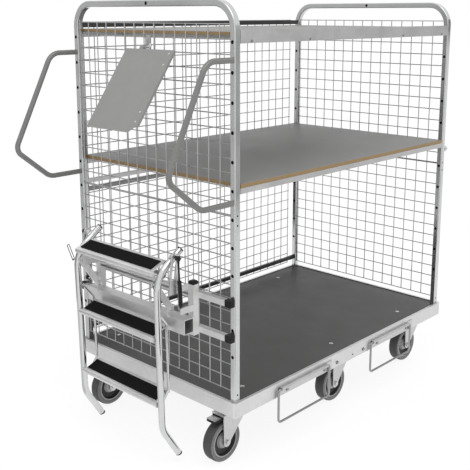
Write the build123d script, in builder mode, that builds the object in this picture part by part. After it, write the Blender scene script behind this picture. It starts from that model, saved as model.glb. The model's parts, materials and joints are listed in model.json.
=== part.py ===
"""Order-picking cart: wire sides, two shelves over a deck, a writing board and a sprung step ladder.

Units are millimetres.  X runs along the cart from the ladder end to the far end, Y across it from
the open front to the wire back, and Z up from the floor.
"""
import os
from math import acos, atan2, cos, degrees, hypot, radians, sin

from build123d import *

# Frame: two bent hoops stand on a rectangular base
frame_length = 1418.0
frame_width = 878.0
cart_height = 1685.0
hoop_tube_x = 27.0
hoop_tube_y = 24.0
hoop_wall = 2.0
hoop_corner = 4.0
hoop_bend = 88.0
hole_pitch = 100.0
hole_count = 12
lowest_hole = 445.0
hole_diameter = 13.0
small_hole_diameter = 7.0
small_hole_heights = (301.0, 925.0, 959.0)

# Base and deck
base_overhang = 11.0
base_above_wheels = 60.0
base_rail_height = 57.0
base_wall = 3.0
base_corner = 12.0
base_lower_flange = 40.0
bearer_width = 110.0
bolt_bearer_width = 60.0
middle_bearer_width = 160.0
bolt_bearer_inset = 231.0
deck_thickness = 12.0
deck_below_lip = 4.0
deck_gap = 1.0
deck_bolt_leads = (35.0, -69.0, 0.0)
deck_bolt_inset = 75.0
deck_bolt_diameter = 8.0
deck_bolt_head = 17.0
deck_bolt_head_height = 4.0
bolt_hole_play = 0.4

# Wire panels
wire = 4.0
mesh_rise = 28.0
mesh_drop = 80.0
cross_rod_diameter = 8.0
cross_rod_height = 955.0
end_columns = 15
half_rows = 13
back_columns = 24
back_mesh_end_gap = 15.0
back_mesh_far_gap = 39.0
piece_gap = 0.2
side_play = 0.3

# Back rails and their end blocks
back_rail_depth = 16.0
back_rail_wall = 1.5
back_top_rail_height = 20.0
back_top_rail_rise = 5.0
back_mid_rail_height = 18.0
back_low_rail_height = 18.0
back_low_rail_rise = 45.0
end_block_length = 40.0
back_mesh_setback = 1.0

# Shelves
shelf_rail = 20.0
shelf_rail_wall = 2.0
shelf_bearer_inset = 200.0
mid_shelf_top = 1068.0
mid_board_thickness = 15.0
top_shelf_drop = 108.0
top_board_thickness = 12.0
shelf_board_gap = 3.0
shelf_back_gap = 2.0
top_flange_height = 43.0
top_flange_rise = 6.0
top_flange_thickness = 3.0

# Pull handles on the near posts and the push bar on the far posts
handle_diameter = 20.0
handle_wall = 2.0
handle_drop = 199.0
handle_low_height = 1004.0
handle_top_reach = 119.0
handle_low_reach = 150.0
handle_nose_reach = 298.0
handle_nose_rise = 120.0
handle_bend = 38.0
handle_end_bend = 60.0
bar_diameter = 25.0
bar_wall = 2.0
bar_standoff = 55.0
bar_height = 1019.0
bar_bend = 45.0

# Writing board on a clamped hinge
board_width = 258.0
board_length = 330.0
board_thickness = 2.0
board_lip = 10.0
board_chamfer = 32.0
board_shift = 51.0
board_tilt = 35.5
board_below_hinge = 14.0
board_hinge_out = 14.0
board_hinge_drop = 59.0
board_hinge_radius = 8.0
board_lug_grip = 20.0
strap_width = 25.0
strap_thickness = 3.0
strap_below = 18.0
strap_drop = 17.0
ear_radius = 7.0
screw_diameter = 6.0
screw_overhang = 22.0
wing_span = 30.0
wing_height = 14.0
wing_thickness = 4.0

# Side loops on bolted strips under the deck edge
loop_length = 316.0
loop_drop = 132.0
loop_rod = 9.0
loop_bend = 14.0
loop_spacing = 611.0
loop_shift = 27.0
loop_tail = 34.0
eye_radius = 7.0
eye_length = 22.0
eye_standoff = 9.0
eye_rise = 33.0
strip_thickness = 3.0
strip_height = 38.0
strip_overlap = 12.0
strip_lead = 12.0
strip_rise = 4.0
strip_bolt_places = (-102.0, 132.0)
strip_bolt_rise = 14.0
rail_bolt_gaps = (40.0, 45.0)
rail_hole_diameter = 8.0
bolt_head = 13.0
bolt_head_height = 5.0
flange_bolt_head = 8.0
flange_bolt_height = 3.0
flange_bolt_places = (55.0, 370.0)
flange_bolt_rise = 7.0

# Casters
wheel_diameter = 160.0
tyre_width = 46.0
tyre_thickness = 18.0
rim_inset = 3.0
rim_wall = 9.0
web_thickness = 10.0
hub_diameter = 46.0
hub_proud = 3.0
axle_diameter = 12.0
running_gap = 0.06
seat_gap = 0.1
fork_gap = 1.0
fork_wall = 4.0
fork_half_width = 18.0
fork_head = 45.0
fixed_lead = 32.0
fork_shoulder = 28.0
crown_thickness = 6.0
crown_gap = 0.3
trail = 48.0
king_place = 85.0
king_pin_diameter = 14.0
king_head_diameter = 24.0
king_head_height = 5.0
raceway_diameter = 74.0
raceway_height = 24.0
plate_length = 108.0
plate_width = 90.0
plate_thickness = 6.0
wheel_inset = 104.0
axle_head = 19.0
axle_head_height = 7.0
pedal_width = 48.0
pedal_reach = 60.0
pedal_thickness = 7.0
pedal_pin = 6.0
pedal_below_crown = 8.7
pedal_hub = 12.0

# Ladder, measured outwards from the near post faces and up from the floor
ladder_half_width = 230.0
stringer_diameter = 25.0
stringer_wall = 2.0
shoulder_bend = 110.0
knee_bend = 90.0
stringer_top_out = 65.0
stringer_top_height = 814.0
stringer_shoulder_out = 176.0
stringer_shoulder_height = 735.0
stringer_knee_out = 162.0
stringer_knee_height = 157.0
stringer_end_out = 86.0
stringer_end_height = 39.0
step_tilt = 21.0
top_step_ahead = 2.6
top_step_rise = 30.0
low_step_ahead = 2.0
low_step_heights = (517.5, 269.5)
step_depth = 74.0
step_plate = 4.0
step_nose = 20.0
step_back_lip = 16.0
tread_inset = 15.3
tread_depth = 51.0
tread_thickness = 3.0
cross_tube_diameter = 24.0
cross_tube_along = 31.0
cross_tube_below = 18.0
rear_rod_diameter = 10.0
rear_rod_bend = 16.0
rear_rod_inset = 4.0
rear_rod_reach = 54.0
rear_rod_rises = (94.5, 30.5, 23.5, -37.5)
foot_sole = 7.0
cap_thickness = 5.0

# Lift linkage: an arm swings on the bracket and carries the ladder while a stud runs in a slot
arm_reach = 78.0
arm_rise = 111.0
arm_hinge_below = 28.1
arm_hinge_inset = 5.3
arm_width = 24.0
arm_thickness = 6.0
arm_pin = 12.0
arm_side_gap = 4.0
guide_along = 93.1
guide_above = 13.5
guide_stud = 10.0
guide_boss = 24.0
guide_boss_reach = 6.0
guide_plate_thickness = 5.0
guide_plate_gap = 1.0
guide_margin = 8.0
guide_foot_height = 22.0
slot_play = 2.6
spring_foot_ahead = 5.0
spring_foot_rise = 10.0
spring_stud = 8.0
spring_offset = 14.0
cylinder_diameter = 15.0
cylinder_wall = 1.5
cylinder_end_gap = 12.0
cylinder_floor = 5.0
spring_neck = 7.0
gas_rod_diameter = 7.0
gas_rod_end_gap = 24.0
spring_eye = 16.0
spring_eye_width = 9.0
foot_clearance = 1.0

# Bracket that carries the ladder on the near posts, with heights measured from the arm pivots
bracket_arm = 22.0
bracket_arm_rises = (-78.0, 52.0)
clamp_length = 30.0
clamp_height = 25.0
upright_width = 26.0
upright_depth = 26.0
upright_below = 96.0
upright_above = 94.0
beam_height = 56.0
beam_depth = 46.0
beam_wall = 3.0
beam_below = 82.0
ear_thickness = 6.0
spring_arm_height = 24.0

# Release lever on the back stringer
lever_length = 62.0
lever_width = 12.0
lever_thickness = 4.0
lever_ahead = 4.7
lever_below_shoulder = 29.0
lever_lean = 20.0
lever_pin = 6.0

# Places that follow from the sizes above
base_bottom = wheel_diameter + base_above_wheels
base_top = base_bottom + base_rail_height
mesh_bottom = base_top + mesh_rise
mesh_top = cart_height - mesh_drop
top_shelf_top = cart_height - top_shelf_drop
back_top_rail_bottom = top_shelf_top + back_top_rail_rise
back_low_rail_bottom = base_top + back_low_rail_rise
handle_top_height = cart_height - handle_drop
handle_nose_height = handle_low_height + handle_nose_rise
handle_bore = handle_diameter - 2 * handle_wall
bar_bore = bar_diameter - 2 * bar_wall
board_hinge_height = top_shelf_top - board_hinge_drop
board_lug_width = strap_width - 2 * strap_thickness - 2 * side_play
strap_top = top_shelf_top - strap_drop
eye_height = base_bottom + eye_rise
strip_bottom = base_bottom + strip_rise
rim_diameter = wheel_diameter - 2 * tyre_thickness
rim_width = tyre_width - 2 * rim_inset
hub_width = tyre_width + 2 * hub_proud
stringer_bore = stringer_diameter - 2 * stringer_wall
cylinder_bore = cylinder_diameter - 2 * cylinder_wall
handle_run = (handle_nose_reach - handle_top_reach, handle_top_height - handle_nose_height)
handle_back = (handle_nose_reach - handle_low_reach, handle_nose_height - handle_low_height)
run_length = hypot(*handle_run)
back_length = hypot(*handle_back)
nose_in = (handle_run[0] / run_length + handle_back[0] / back_length,
           handle_run[1] / run_length - handle_back[1] / back_length)
nose_cos = (-handle_run[0] * handle_back[0] + handle_run[1] * handle_back[1]) / (run_length * back_length)
nose_half = acos(-nose_cos) / 2
nose_centre_reach = handle_nose_reach - nose_in[0] / hypot(*nose_in) * handle_bend / sin(nose_half)
handle_reach = nose_centre_reach + handle_bend + handle_diameter / 2
bar_reach = bar_standoff + bar_diameter / 2
near_x = (handle_reach - frame_length - bar_reach) / 2
far_x = near_x + frame_length
centre_x = near_x + frame_length / 2
mid_y = (eye_standoff + eye_radius) / 2
front_face = mid_y - frame_width / 2
back_face = mid_y + frame_width / 2
front_y = front_face + hoop_tube_y / 2
back_y = back_face - hoop_tube_y / 2
base_length = frame_length + 2 * base_overhang
base_width = frame_width + 2 * base_overhang
base_front = mid_y - base_width / 2
post_foot = base_bottom + base_wall
hoop_axis_top = cart_height - hoop_tube_y / 2
inner_bend = hoop_bend - hoop_tube_y / 2
near_post_x = near_x + hoop_tube_x / 2
far_post_x = far_x - hoop_tube_x / 2
inner_length = frame_length - 2 * hoop_tube_x
inner_width = frame_width - 2 * hoop_tube_y
deck_top = base_top - deck_below_lip
deck_bottom = deck_top - deck_thickness
back_mesh_y = back_face - back_mesh_setback - wire / 2
back_mesh_front = back_mesh_y - wire / 2
axle_z = wheel_diameter / 2
caster_y = frame_width / 2 - wheel_inset


def finish(piece, name):
    """Labels a finished piece and writes it."""
    piece.part.label = name
    export_step(piece.part, f"parts/{name}.step")


def add_bent_rod(corners, bend, diameter, bore=0.0):
    """Adds a round rod, or a tube if it has a bore, along corner points with one or several bend radii."""
    with BuildLine(mode=Mode.PRIVATE) as route:
        FilletPolyline(*corners, radius=bend)
    with BuildSketch(Plane(origin=route.line @ 0, z_dir=route.line % 0), mode=Mode.PRIVATE) as section:
        Circle(diameter / 2)
        if bore:
            Circle(bore / 2, mode=Mode.SUBTRACT)
    sweep(sections=section.sketch, path=route.line)


def add_block(low, high, mode=Mode.ADD):
    """Adds or cuts a box between two opposite corners."""
    middle = tuple((a + b) / 2 for a, b in zip(low, high))
    sizes = tuple(abs(b - a) for a, b in zip(low, high))
    with Locations(middle):
        Box(*sizes, mode=mode)


def add_pin(place, length, diameter, mode=Mode.ADD):
    """Adds or cuts a round pin along Y, centred on its place."""
    with Locations(place):
        Cylinder(diameter / 2, length, rotation=(90, 0, 0), mode=mode)


def add_cross_pin(place, length, diameter, mode=Mode.ADD):
    """Adds or cuts a round pin along X, centred on its place."""
    with Locations(place):
        Cylinder(diameter / 2, length, rotation=(0, 90, 0), mode=mode)


def wire_face(plane, width, height, columns, rows):
    """Face of a flat wire panel: a rectangle with one opening in each cell between the wires."""
    pitch_x = (width - wire) / columns
    pitch_y = (height - wire) / rows
    cells = [plane * Pos(pitch_x * (i - (columns - 1) / 2), pitch_y * (j - (rows - 1) / 2))
             for i in range(columns) for j in range(rows)]
    openings = [cell * Wire.make_rect(pitch_x - wire, pitch_y - wire) for cell in cells]
    return Face(plane * Pos(0, 0) * Wire.make_rect(width, height), openings)


def out(distance):
    """X of a point this far outside the near posts."""
    return near_x - distance


# Lift linkage, worked out in the plane of motion as distance outwards and height
top_run = (stringer_top_out - stringer_shoulder_out, stringer_top_height - stringer_shoulder_height)
top_unit = [value / hypot(*top_run) for value in top_run]
leg_run = (stringer_knee_out - stringer_shoulder_out, stringer_knee_height - stringer_shoulder_height)
leg_unit = [value / hypot(*leg_run) for value in leg_run]


def on_top_run(along, above):
    """Point this far up the sloping top of a stringer and this far above its middle line."""
    return (stringer_shoulder_out + along * top_unit[0] + above * top_unit[1],
            stringer_shoulder_height + along * top_unit[1] - above * top_unit[0])


def leg_out(height):
    """Distance outwards of a stringer's straight leg at this height."""
    return stringer_knee_out + leg_run[0] * (height - stringer_knee_height) / leg_run[1]


guide_out, guide_height = on_top_run(guide_along, guide_above)
cross_tube_out, cross_tube_height = on_top_run(cross_tube_along, -cross_tube_below)
arm_hinge_out = stringer_shoulder_out + arm_hinge_below * leg_unit[0] + arm_hinge_inset * leg_unit[1]
arm_hinge_height = stringer_shoulder_height + arm_hinge_below * leg_unit[1] - arm_hinge_inset * leg_unit[0]
arm_pivot_out = arm_hinge_out - arm_reach
arm_pivot_height = arm_hinge_height - arm_rise
spring_foot_out = arm_pivot_out + spring_foot_ahead
spring_foot_height = arm_pivot_height + spring_foot_rise
step_fronts = [(stringer_shoulder_out + top_step_ahead, stringer_shoulder_height + top_step_rise)]
step_fronts += [(leg_out(height) + low_step_ahead, height) for height in low_step_heights]
stringer_end_run = (stringer_end_out - stringer_knee_out, stringer_end_height - stringer_knee_height)
end_unit = [value / hypot(*stringer_end_run) for value in stringer_end_run]
sole_out = stringer_end_out + foot_sole * end_unit[0]
sole_height = stringer_end_height + foot_sole * end_unit[1]
swing = radians(step_tilt)


def swing_out(point_out, point_height):
    """Offset from the arm hinge after the ladder's foot has swung outwards by the step tilt."""
    across = point_out - arm_hinge_out
    above = point_height - arm_hinge_height
    return across * cos(swing) - above * sin(swing), across * sin(swing) + above * cos(swing)


arm_length = hypot(arm_hinge_out - arm_pivot_out, arm_hinge_height - arm_pivot_height)
arm_rest = atan2(arm_hinge_out - arm_pivot_out, arm_hinge_height - arm_pivot_height)
sole_drop = swing_out(sole_out, sole_height)[1]
arm_down = acos((foot_clearance - sole_drop - arm_pivot_height) / arm_length)
arm_end_out = arm_pivot_out + arm_length * sin(arm_down)
arm_end_height = arm_pivot_height + arm_length * cos(arm_down)
guide_shift = swing_out(guide_out, guide_height)
guide_end_out = arm_end_out + guide_shift[0]
guide_end_height = arm_end_height + guide_shift[1]
spring_short = hypot(guide_end_out - spring_foot_out, guide_end_height - spring_foot_height)
cylinder_length = spring_short - cylinder_end_gap
gas_rod_length = spring_short - gas_rod_end_gap
lever_height = stringer_shoulder_height - lever_below_shoulder
lever_out = leg_out(lever_height) + lever_ahead
rod_steps = (low_step_heights[0], low_step_heights[0], low_step_heights[1], low_step_heights[1])
rear_rod_height = [step + rise for step, rise in zip(rod_steps, rear_rod_rises)]
bracket_arm_heights = [arm_pivot_height + rise for rise in bracket_arm_rises]
upright_bottom = arm_pivot_height - upright_below
upright_top = arm_pivot_height + upright_above
beam_bottom = arm_pivot_height - beam_below

os.makedirs("parts", exist_ok=True)

# Base frame: a folded rim with flanges, three caster bearers and one deck bearer
bearer_places = (king_place, frame_length / 2 + fixed_lead, frame_length - king_place,
                 frame_length - bolt_bearer_inset)
bearer_widths = (bearer_width, middle_bearer_width, bearer_width, bolt_bearer_width)
bolted_bearers = (bearer_places[0], bearer_places[1], bearer_places[3])
deck_bolt_points = [(near_x + place + lead, mid_y + side * (frame_width / 2 - deck_bolt_inset))
                    for place, lead in zip(bolted_bearers, deck_bolt_leads) for side in (-1, 1)]
with BuildPart() as base_frame:
    with BuildSketch(Plane((centre_x, mid_y, base_bottom))):
        RectangleRounded(base_length, base_width, base_corner)
        RectangleRounded(base_length - 2 * base_wall, base_width - 2 * base_wall,
                         base_corner - base_wall, mode=Mode.SUBTRACT)
    extrude(amount=base_rail_height)
    with BuildSketch(Plane((centre_x, mid_y, base_top - base_wall))):
        RectangleRounded(base_length, base_width, base_corner)
        Rectangle(frame_length, frame_width, mode=Mode.SUBTRACT)
    extrude(amount=base_wall)
    with BuildSketch(Plane((centre_x, mid_y, base_bottom))):
        RectangleRounded(base_length, base_width, base_corner)
        Rectangle(frame_length - 2 * base_lower_flange, frame_width - 2 * base_lower_flange,
                  mode=Mode.SUBTRACT)
    extrude(amount=base_wall)
    bearer_span = base_width - base_wall
    for place, width in zip(bearer_places, bearer_widths):
        left = near_x + place - width / 2
        right = left + width
        add_block((left, mid_y - bearer_span / 2, base_bottom), (right, mid_y + bearer_span / 2, deck_bottom))
    for place, width in zip(bearer_places, bearer_widths):
        left = near_x + place - width / 2 + base_wall
        right = left + width - 2 * base_wall
        hollow = base_width / 2 - base_wall
        add_block((left, mid_y - hollow, post_foot), (right, mid_y + hollow, deck_bottom - base_wall),
                  Mode.SUBTRACT)
    with Locations([(x, y, deck_bottom) for x, y in deck_bolt_points]):
        Cylinder(deck_bolt_diameter / 2 + bolt_hole_play, 3 * base_wall, mode=Mode.SUBTRACT)
    add_pin((centre_x, base_front, strip_bottom + strip_bolt_rise), 3 * base_wall, rail_hole_diameter,
            Mode.SUBTRACT)
finish(base_frame, "base_frame")

# Deck board, notched round the posts
notch_x = hoop_tube_x + deck_gap
notch_y = hoop_tube_y + deck_gap
deck_length = frame_length - 2 * deck_gap
deck_width = frame_width - 2 * deck_gap
with BuildPart() as deck_board:
    with BuildSketch(Plane((centre_x, mid_y, deck_bottom))):
        Rectangle(deck_length, deck_width)
        with GridLocations(frame_length - notch_x, frame_width - notch_y, 2, 2):
            Rectangle(notch_x, notch_y, mode=Mode.SUBTRACT)
    extrude(amount=deck_thickness)
    with Locations([(x, y, deck_top) for x, y in deck_bolt_points]):
        Cylinder(deck_bolt_head / 2 + bolt_hole_play, 2 * deck_bolt_head_height, mode=Mode.SUBTRACT)
    with Locations([(x, y, deck_bottom + deck_thickness / 2) for x, y in deck_bolt_points]):
        Cylinder(deck_bolt_diameter / 2 + bolt_hole_play, 2 * deck_thickness, mode=Mode.SUBTRACT)
finish(deck_board, "deck_board")

with BuildPart() as deck_bolts:
    with Locations([(x, y, deck_top) for x, y in deck_bolt_points]):
        Cylinder(deck_bolt_head / 2, deck_bolt_head_height, align=(Align.CENTER, Align.CENTER, Align.MAX))
    fillet(deck_bolts.edges().group_by(Axis.Z)[-1], deck_bolt_head_height / 4)
    with Locations([(x, y, deck_top - deck_bolt_head_height / 2) for x, y in deck_bolt_points]):
        Cylinder(deck_bolt_diameter / 2, deck_thickness + base_wall,
                 align=(Align.CENTER, Align.CENTER, Align.MAX))
finish(deck_bolts, "deck_bolts")

# End hoops with a row of adjusting holes in each post
hole_heights = [lowest_hole + hole_pitch * k for k in range(hole_count)]
for hoop_name, hoop_x in (("near_end_hoop", near_post_x), ("far_end_hoop", far_post_x)):
    with BuildPart() as hoop:
        with BuildLine() as hoop_route:
            FilletPolyline((hoop_x, front_y, post_foot), (hoop_x, front_y, hoop_axis_top),
                           (hoop_x, back_y, hoop_axis_top), (hoop_x, back_y, post_foot), radius=hoop_bend)
        with BuildSketch(Plane((hoop_x, front_y, post_foot))):
            RectangleRounded(hoop_tube_x, hoop_tube_y, hoop_corner)
            RectangleRounded(hoop_tube_x - 2 * hoop_wall, hoop_tube_y - 2 * hoop_wall,
                             hoop_corner - hoop_wall, mode=Mode.SUBTRACT)
        sweep()
        with Locations([(hoop_x, y, z) for y in (front_y, back_y) for z in hole_heights]):
            Cylinder(hole_diameter / 2, 2 * hoop_tube_x, rotation=(0, 90, 0), mode=Mode.SUBTRACT)
        add_cross_pin((hoop_x, mid_y, hoop_axis_top), 2 * hoop_tube_x, hole_diameter, Mode.SUBTRACT)
        with Locations([(hoop_x, front_face, z) for z in small_hole_heights]):
            Cylinder(small_hole_diameter / 2, 2 * hoop_wall + 1, rotation=(90, 0, 0), mode=Mode.SUBTRACT)
    finish(hoop, hoop_name)

# End panels: a lower and an upper wire panel with a stout cross rod between them
rod_clear = cross_rod_diameter / 2 + piece_gap
bands = ((mesh_bottom, cross_rod_height - rod_clear), (cross_rod_height + rod_clear, mesh_top))
for panel_name, panel_x in (("near_end_mesh", near_post_x), ("far_end_mesh", far_post_x)):
    with BuildPart() as panel:
        for low, high in bands:
            panel_plane = Plane((panel_x, mid_y, (low + high) / 2), x_dir=(0, 1, 0), z_dir=(1, 0, 0))
            field = wire_face(panel_plane, inner_width, high - low, end_columns, half_rows)
            extrude(field, wire / 2, both=True)
        add_pin((panel_x, mid_y, cross_rod_height), inner_width, cross_rod_diameter)
        bend_level = (panel_x, mid_y, hoop_axis_top - hoop_bend)
        with BuildSketch(Plane(bend_level, x_dir=(0, 1, 0), z_dir=(1, 0, 0))):
            for side in (-1, 1):
                with Locations((side * (inner_width - inner_bend) / 2, inner_bend / 2)):
                    Rectangle(inner_bend, inner_bend)
                with Locations((side * (inner_width / 2 - inner_bend), 0)):
                    Circle(inner_bend, mode=Mode.SUBTRACT)
        extrude(amount=wire, both=True, mode=Mode.SUBTRACT)
    finish(panel, panel_name)

# Back panel in four fields
back_left = near_x + hoop_tube_x + back_mesh_end_gap
back_right = far_x - hoop_tube_x - back_mesh_far_gap
back_middle = (back_left + back_right) / 2
half_fields = ((back_left, back_middle - piece_gap / 2), (back_middle + piece_gap / 2, back_right))
with BuildPart() as back_mesh:
    for low, high in ((mesh_bottom, cross_rod_height - piece_gap), (cross_rod_height, mesh_top)):
        for left, right in half_fields:
            field_plane = Plane(((left + right) / 2, back_mesh_y, (low + high) / 2), x_dir=(1, 0, 0),
                                z_dir=(0, -1, 0))
            field = wire_face(field_plane, right - left, high - low, back_columns // 2, half_rows)
            extrude(field, wire / 2, both=True)
finish(back_mesh, "back_mesh")

# Back rails in front of the wire: one over the upper shelf, a pair half-way, one between black end blocks
inner_near = near_x + hoop_tube_x
inner_far = far_x - hoop_tube_x
rail_front = back_mesh_front - back_rail_depth
back_mid_rail_heights = small_hole_heights[1:]
low_rail_top = back_low_rail_bottom + back_low_rail_height
rail_spans = [(0.0, back_top_rail_bottom, back_top_rail_height),
              (end_block_length, back_low_rail_bottom, back_low_rail_height)]
rail_spans += [(0.0, height - back_mid_rail_height / 2, back_mid_rail_height)
               for height in back_mid_rail_heights]
with BuildPart() as back_rails:
    for cut_back, low, height in rail_spans:
        add_block((inner_near + cut_back, rail_front, low),
                  (inner_far - cut_back, back_mesh_front, low + height))
    fillet(back_rails.edges().filter_by(Axis.X), hoop_wall)
    for cut_back, low, height in rail_spans:
        add_block((inner_near + cut_back, rail_front + back_rail_wall, low + back_rail_wall),
                  (inner_far - cut_back, back_mesh_front - back_rail_wall, low + height - back_rail_wall),
                  Mode.SUBTRACT)
finish(back_rails, "back_rails")

# Black blocks: ends of the lower back rail and the clamps of the ladder bracket
clamp_edges = [(side, mid_y + side * frame_width / 2, mid_y + side * (frame_width / 2 - clamp_length))
               for side in (-1, 1)]
with BuildPart() as clamp_blocks:
    for left in (inner_near, inner_far - end_block_length):
        add_block((left, rail_front, back_low_rail_bottom),
                  (left + end_block_length, back_mesh_front, low_rail_top))
    for side, outer, inner in clamp_edges:
        for height in bracket_arm_heights:
            add_block((out(bracket_arm), outer, height - clamp_height / 2),
                      (near_x, inner, height + clamp_height / 2))
    fillet(clamp_blocks.edges().filter_by(Axis.Z), hoop_wall)
finish(clamp_blocks, "clamp_blocks")

# Shelf frames: two square tubes between the posts on two bearers, and a front flange on the upper one
shelf_front = front_face
shelf_back = back_mesh_front
mid_board_bottom = mid_shelf_top - mid_board_thickness
top_board_bottom = top_shelf_top - top_board_thickness
flange_top = top_shelf_top + top_flange_rise


def add_shelf_frame(front, board_bottom):
    """Adds the square tubes that carry a shelf board, each open inside."""
    bottom = board_bottom - shelf_rail
    floor = bottom + shelf_rail_wall
    roof = board_bottom - shelf_rail_wall
    rails = (front, shelf_back - shelf_rail)
    bearers = (inner_near + shelf_bearer_inset, inner_far - shelf_bearer_inset - shelf_rail)
    for rail_y in rails:
        add_block((inner_near, rail_y, bottom), (inner_far, rail_y + shelf_rail, board_bottom))
    for bearer_x in bearers:
        add_block((bearer_x, front, bottom), (bearer_x + shelf_rail, shelf_back, board_bottom))
    for rail_y in rails:
        add_block((inner_near, rail_y + shelf_rail_wall, floor),
                  (inner_far, rail_y + shelf_rail - shelf_rail_wall, roof), Mode.SUBTRACT)
    for bearer_x in bearers:
        add_block((bearer_x + shelf_rail_wall, front + shelf_rail_wall, floor),
                  (bearer_x + shelf_rail - shelf_rail_wall, shelf_back - shelf_rail_wall, roof),
                  Mode.SUBTRACT)


with BuildPart() as mid_shelf_frame:
    add_shelf_frame(shelf_front, mid_board_bottom)
finish(mid_shelf_frame, "mid_shelf_frame")

board_near = inner_near + shelf_board_gap
board_far = inner_far - shelf_board_gap
with BuildPart() as mid_shelf_board:
    add_block((board_near, shelf_front, mid_board_bottom),
              (board_far, shelf_back - shelf_back_gap, mid_shelf_top))
finish(mid_shelf_board, "mid_shelf_board")

top_rail_front = shelf_front + top_flange_thickness
with BuildPart() as top_shelf_frame:
    add_shelf_frame(top_rail_front, top_board_bottom)
    add_block((inner_near, shelf_front, flange_top - top_flange_height),
              (inner_far, top_rail_front, flange_top))
finish(top_shelf_frame, "top_shelf_frame")

with BuildPart() as top_shelf_board:
    add_block((board_near, top_rail_front, top_board_bottom),
              (board_far, shelf_back - shelf_back_gap, top_shelf_top))
finish(top_shelf_board, "top_shelf_board")

# Pull handles: bent tubes that butt on the near posts
with BuildPart() as pull_handles:
    for handle_y in (front_y, back_y):
        handle_corners = ((out(0), handle_y, handle_top_height),
                          (out(handle_top_reach), handle_y, handle_top_height),
                          (out(handle_nose_reach), handle_y, handle_nose_height),
                          (out(handle_low_reach), handle_y, handle_low_height),
                          (out(0), handle_y, handle_low_height))
        handle_bends = (handle_end_bend, handle_bend, handle_end_bend)
        add_bent_rod(handle_corners, handle_bends, handle_diameter, handle_bore)
finish(pull_handles, "pull_handles")

# Push bar on the outer faces of the far posts
with BuildPart() as push_bar:
    bar_x = far_x + bar_standoff
    add_bent_rod(((far_x, front_y, bar_height), (bar_x, front_y, bar_height),
                  (bar_x, back_y, bar_height), (far_x, back_y, bar_height)), bar_bend, bar_diameter, bar_bore)
finish(push_bar, "push_bar")

# Hinge of the writing board: a strap on the wire, two ears and a wing screw
tilt = radians(board_tilt)
board_normal = Vector(-cos(tilt), 0, sin(tilt))
hinge_x = out(board_hinge_out)
strap_back = near_post_x - wire / 2
strap_front = strap_back - strap_thickness
with BuildPart() as board_bracket:
    add_block((strap_front, mid_y - strap_width / 2, board_hinge_height - strap_below),
              (strap_back, mid_y + strap_width / 2, strap_top))
    for side in (-1, 1):
        ear_outer = mid_y + side * strap_width / 2
        ear_inner = ear_outer - side * strap_thickness
        add_block((hinge_x, ear_inner, board_hinge_height - ear_radius),
                  (strap_front, ear_outer, board_hinge_height + ear_radius))
        add_pin((hinge_x, (ear_inner + ear_outer) / 2, board_hinge_height), strap_thickness, 2 * ear_radius)
    add_pin((hinge_x, mid_y, board_hinge_height), 2 * strap_width, screw_diameter + 2 * running_gap,
            Mode.SUBTRACT)
finish(board_bracket, "board_bracket")

with BuildPart() as board_wing_screw:
    screw_start = mid_y - strap_width / 2 - screw_overhang
    screw_end = mid_y + strap_width / 2 + strap_thickness
    screw_middle = (screw_start + screw_end) / 2
    add_pin((hinge_x, screw_middle, board_hinge_height), screw_end - screw_start, screw_diameter)
    for collar_y, collar in ((screw_end - strap_thickness / 2, strap_thickness),
                             (screw_start + wing_thickness, 2 * wing_thickness)):
        add_pin((hinge_x, collar_y, board_hinge_height), collar, 2 * screw_diameter)
    with BuildSketch(Plane((hinge_x, screw_start, board_hinge_height), x_dir=(0, 1, 0), z_dir=board_normal)):
        with Locations((wing_thickness, wing_span / 4), (wing_thickness, -wing_span / 4)):
            Ellipse(wing_height / 2, wing_span / 4)
    extrude(amount=wing_thickness / 2, both=True)
finish(board_wing_screw, "board_wing_screw")

# Writing board: a tilted plate with turned-down lips and a hinge lug
hinge_point = Vector(hinge_x, mid_y, board_hinge_height)
board_plane = Plane(hinge_point, x_dir=(0, 1, 0), z_dir=board_normal)
plate_left = board_width / 2 - board_shift
plate_right = -board_width / 2 - board_shift
plate_top = board_below_hinge
plate_end = plate_top + board_length
plate_outline = ((plate_left, plate_top), (plate_left, plate_end), (plate_right + board_chamfer, plate_end),
                 (plate_right, plate_end - board_chamfer), (plate_right, plate_top))
with BuildPart() as writing_board:
    with BuildSketch(board_plane.offset(board_hinge_radius)):
        with BuildLine():
            Polyline(*plate_outline, close=True)
        make_face()
    extrude(amount=board_thickness)
    lip_bottom = board_hinge_radius + board_thickness - board_lip
    with BuildSketch(board_plane.offset(lip_bottom)):
        for edge, end in ((plate_left - board_thickness / 2, plate_end),
                          (plate_right + board_thickness / 2, plate_end - board_chamfer)):
            with Locations((edge, (plate_top + end) / 2)):
                Rectangle(board_thickness, end - plate_top)
    extrude(amount=board_lip)
    with BuildSketch(Plane(hinge_point, x_dir=board_normal, z_dir=(0, 1, 0))):
        Circle(board_hinge_radius)
        tongue = board_below_hinge + board_lug_grip
        with Locations((board_hinge_radius / 2, -tongue / 2)):
            Rectangle(board_hinge_radius, tongue)
        Circle(screw_diameter / 2 + running_gap, mode=Mode.SUBTRACT)
    extrude(amount=board_lug_width / 2, both=True)
finish(writing_board, "writing_board")

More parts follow.
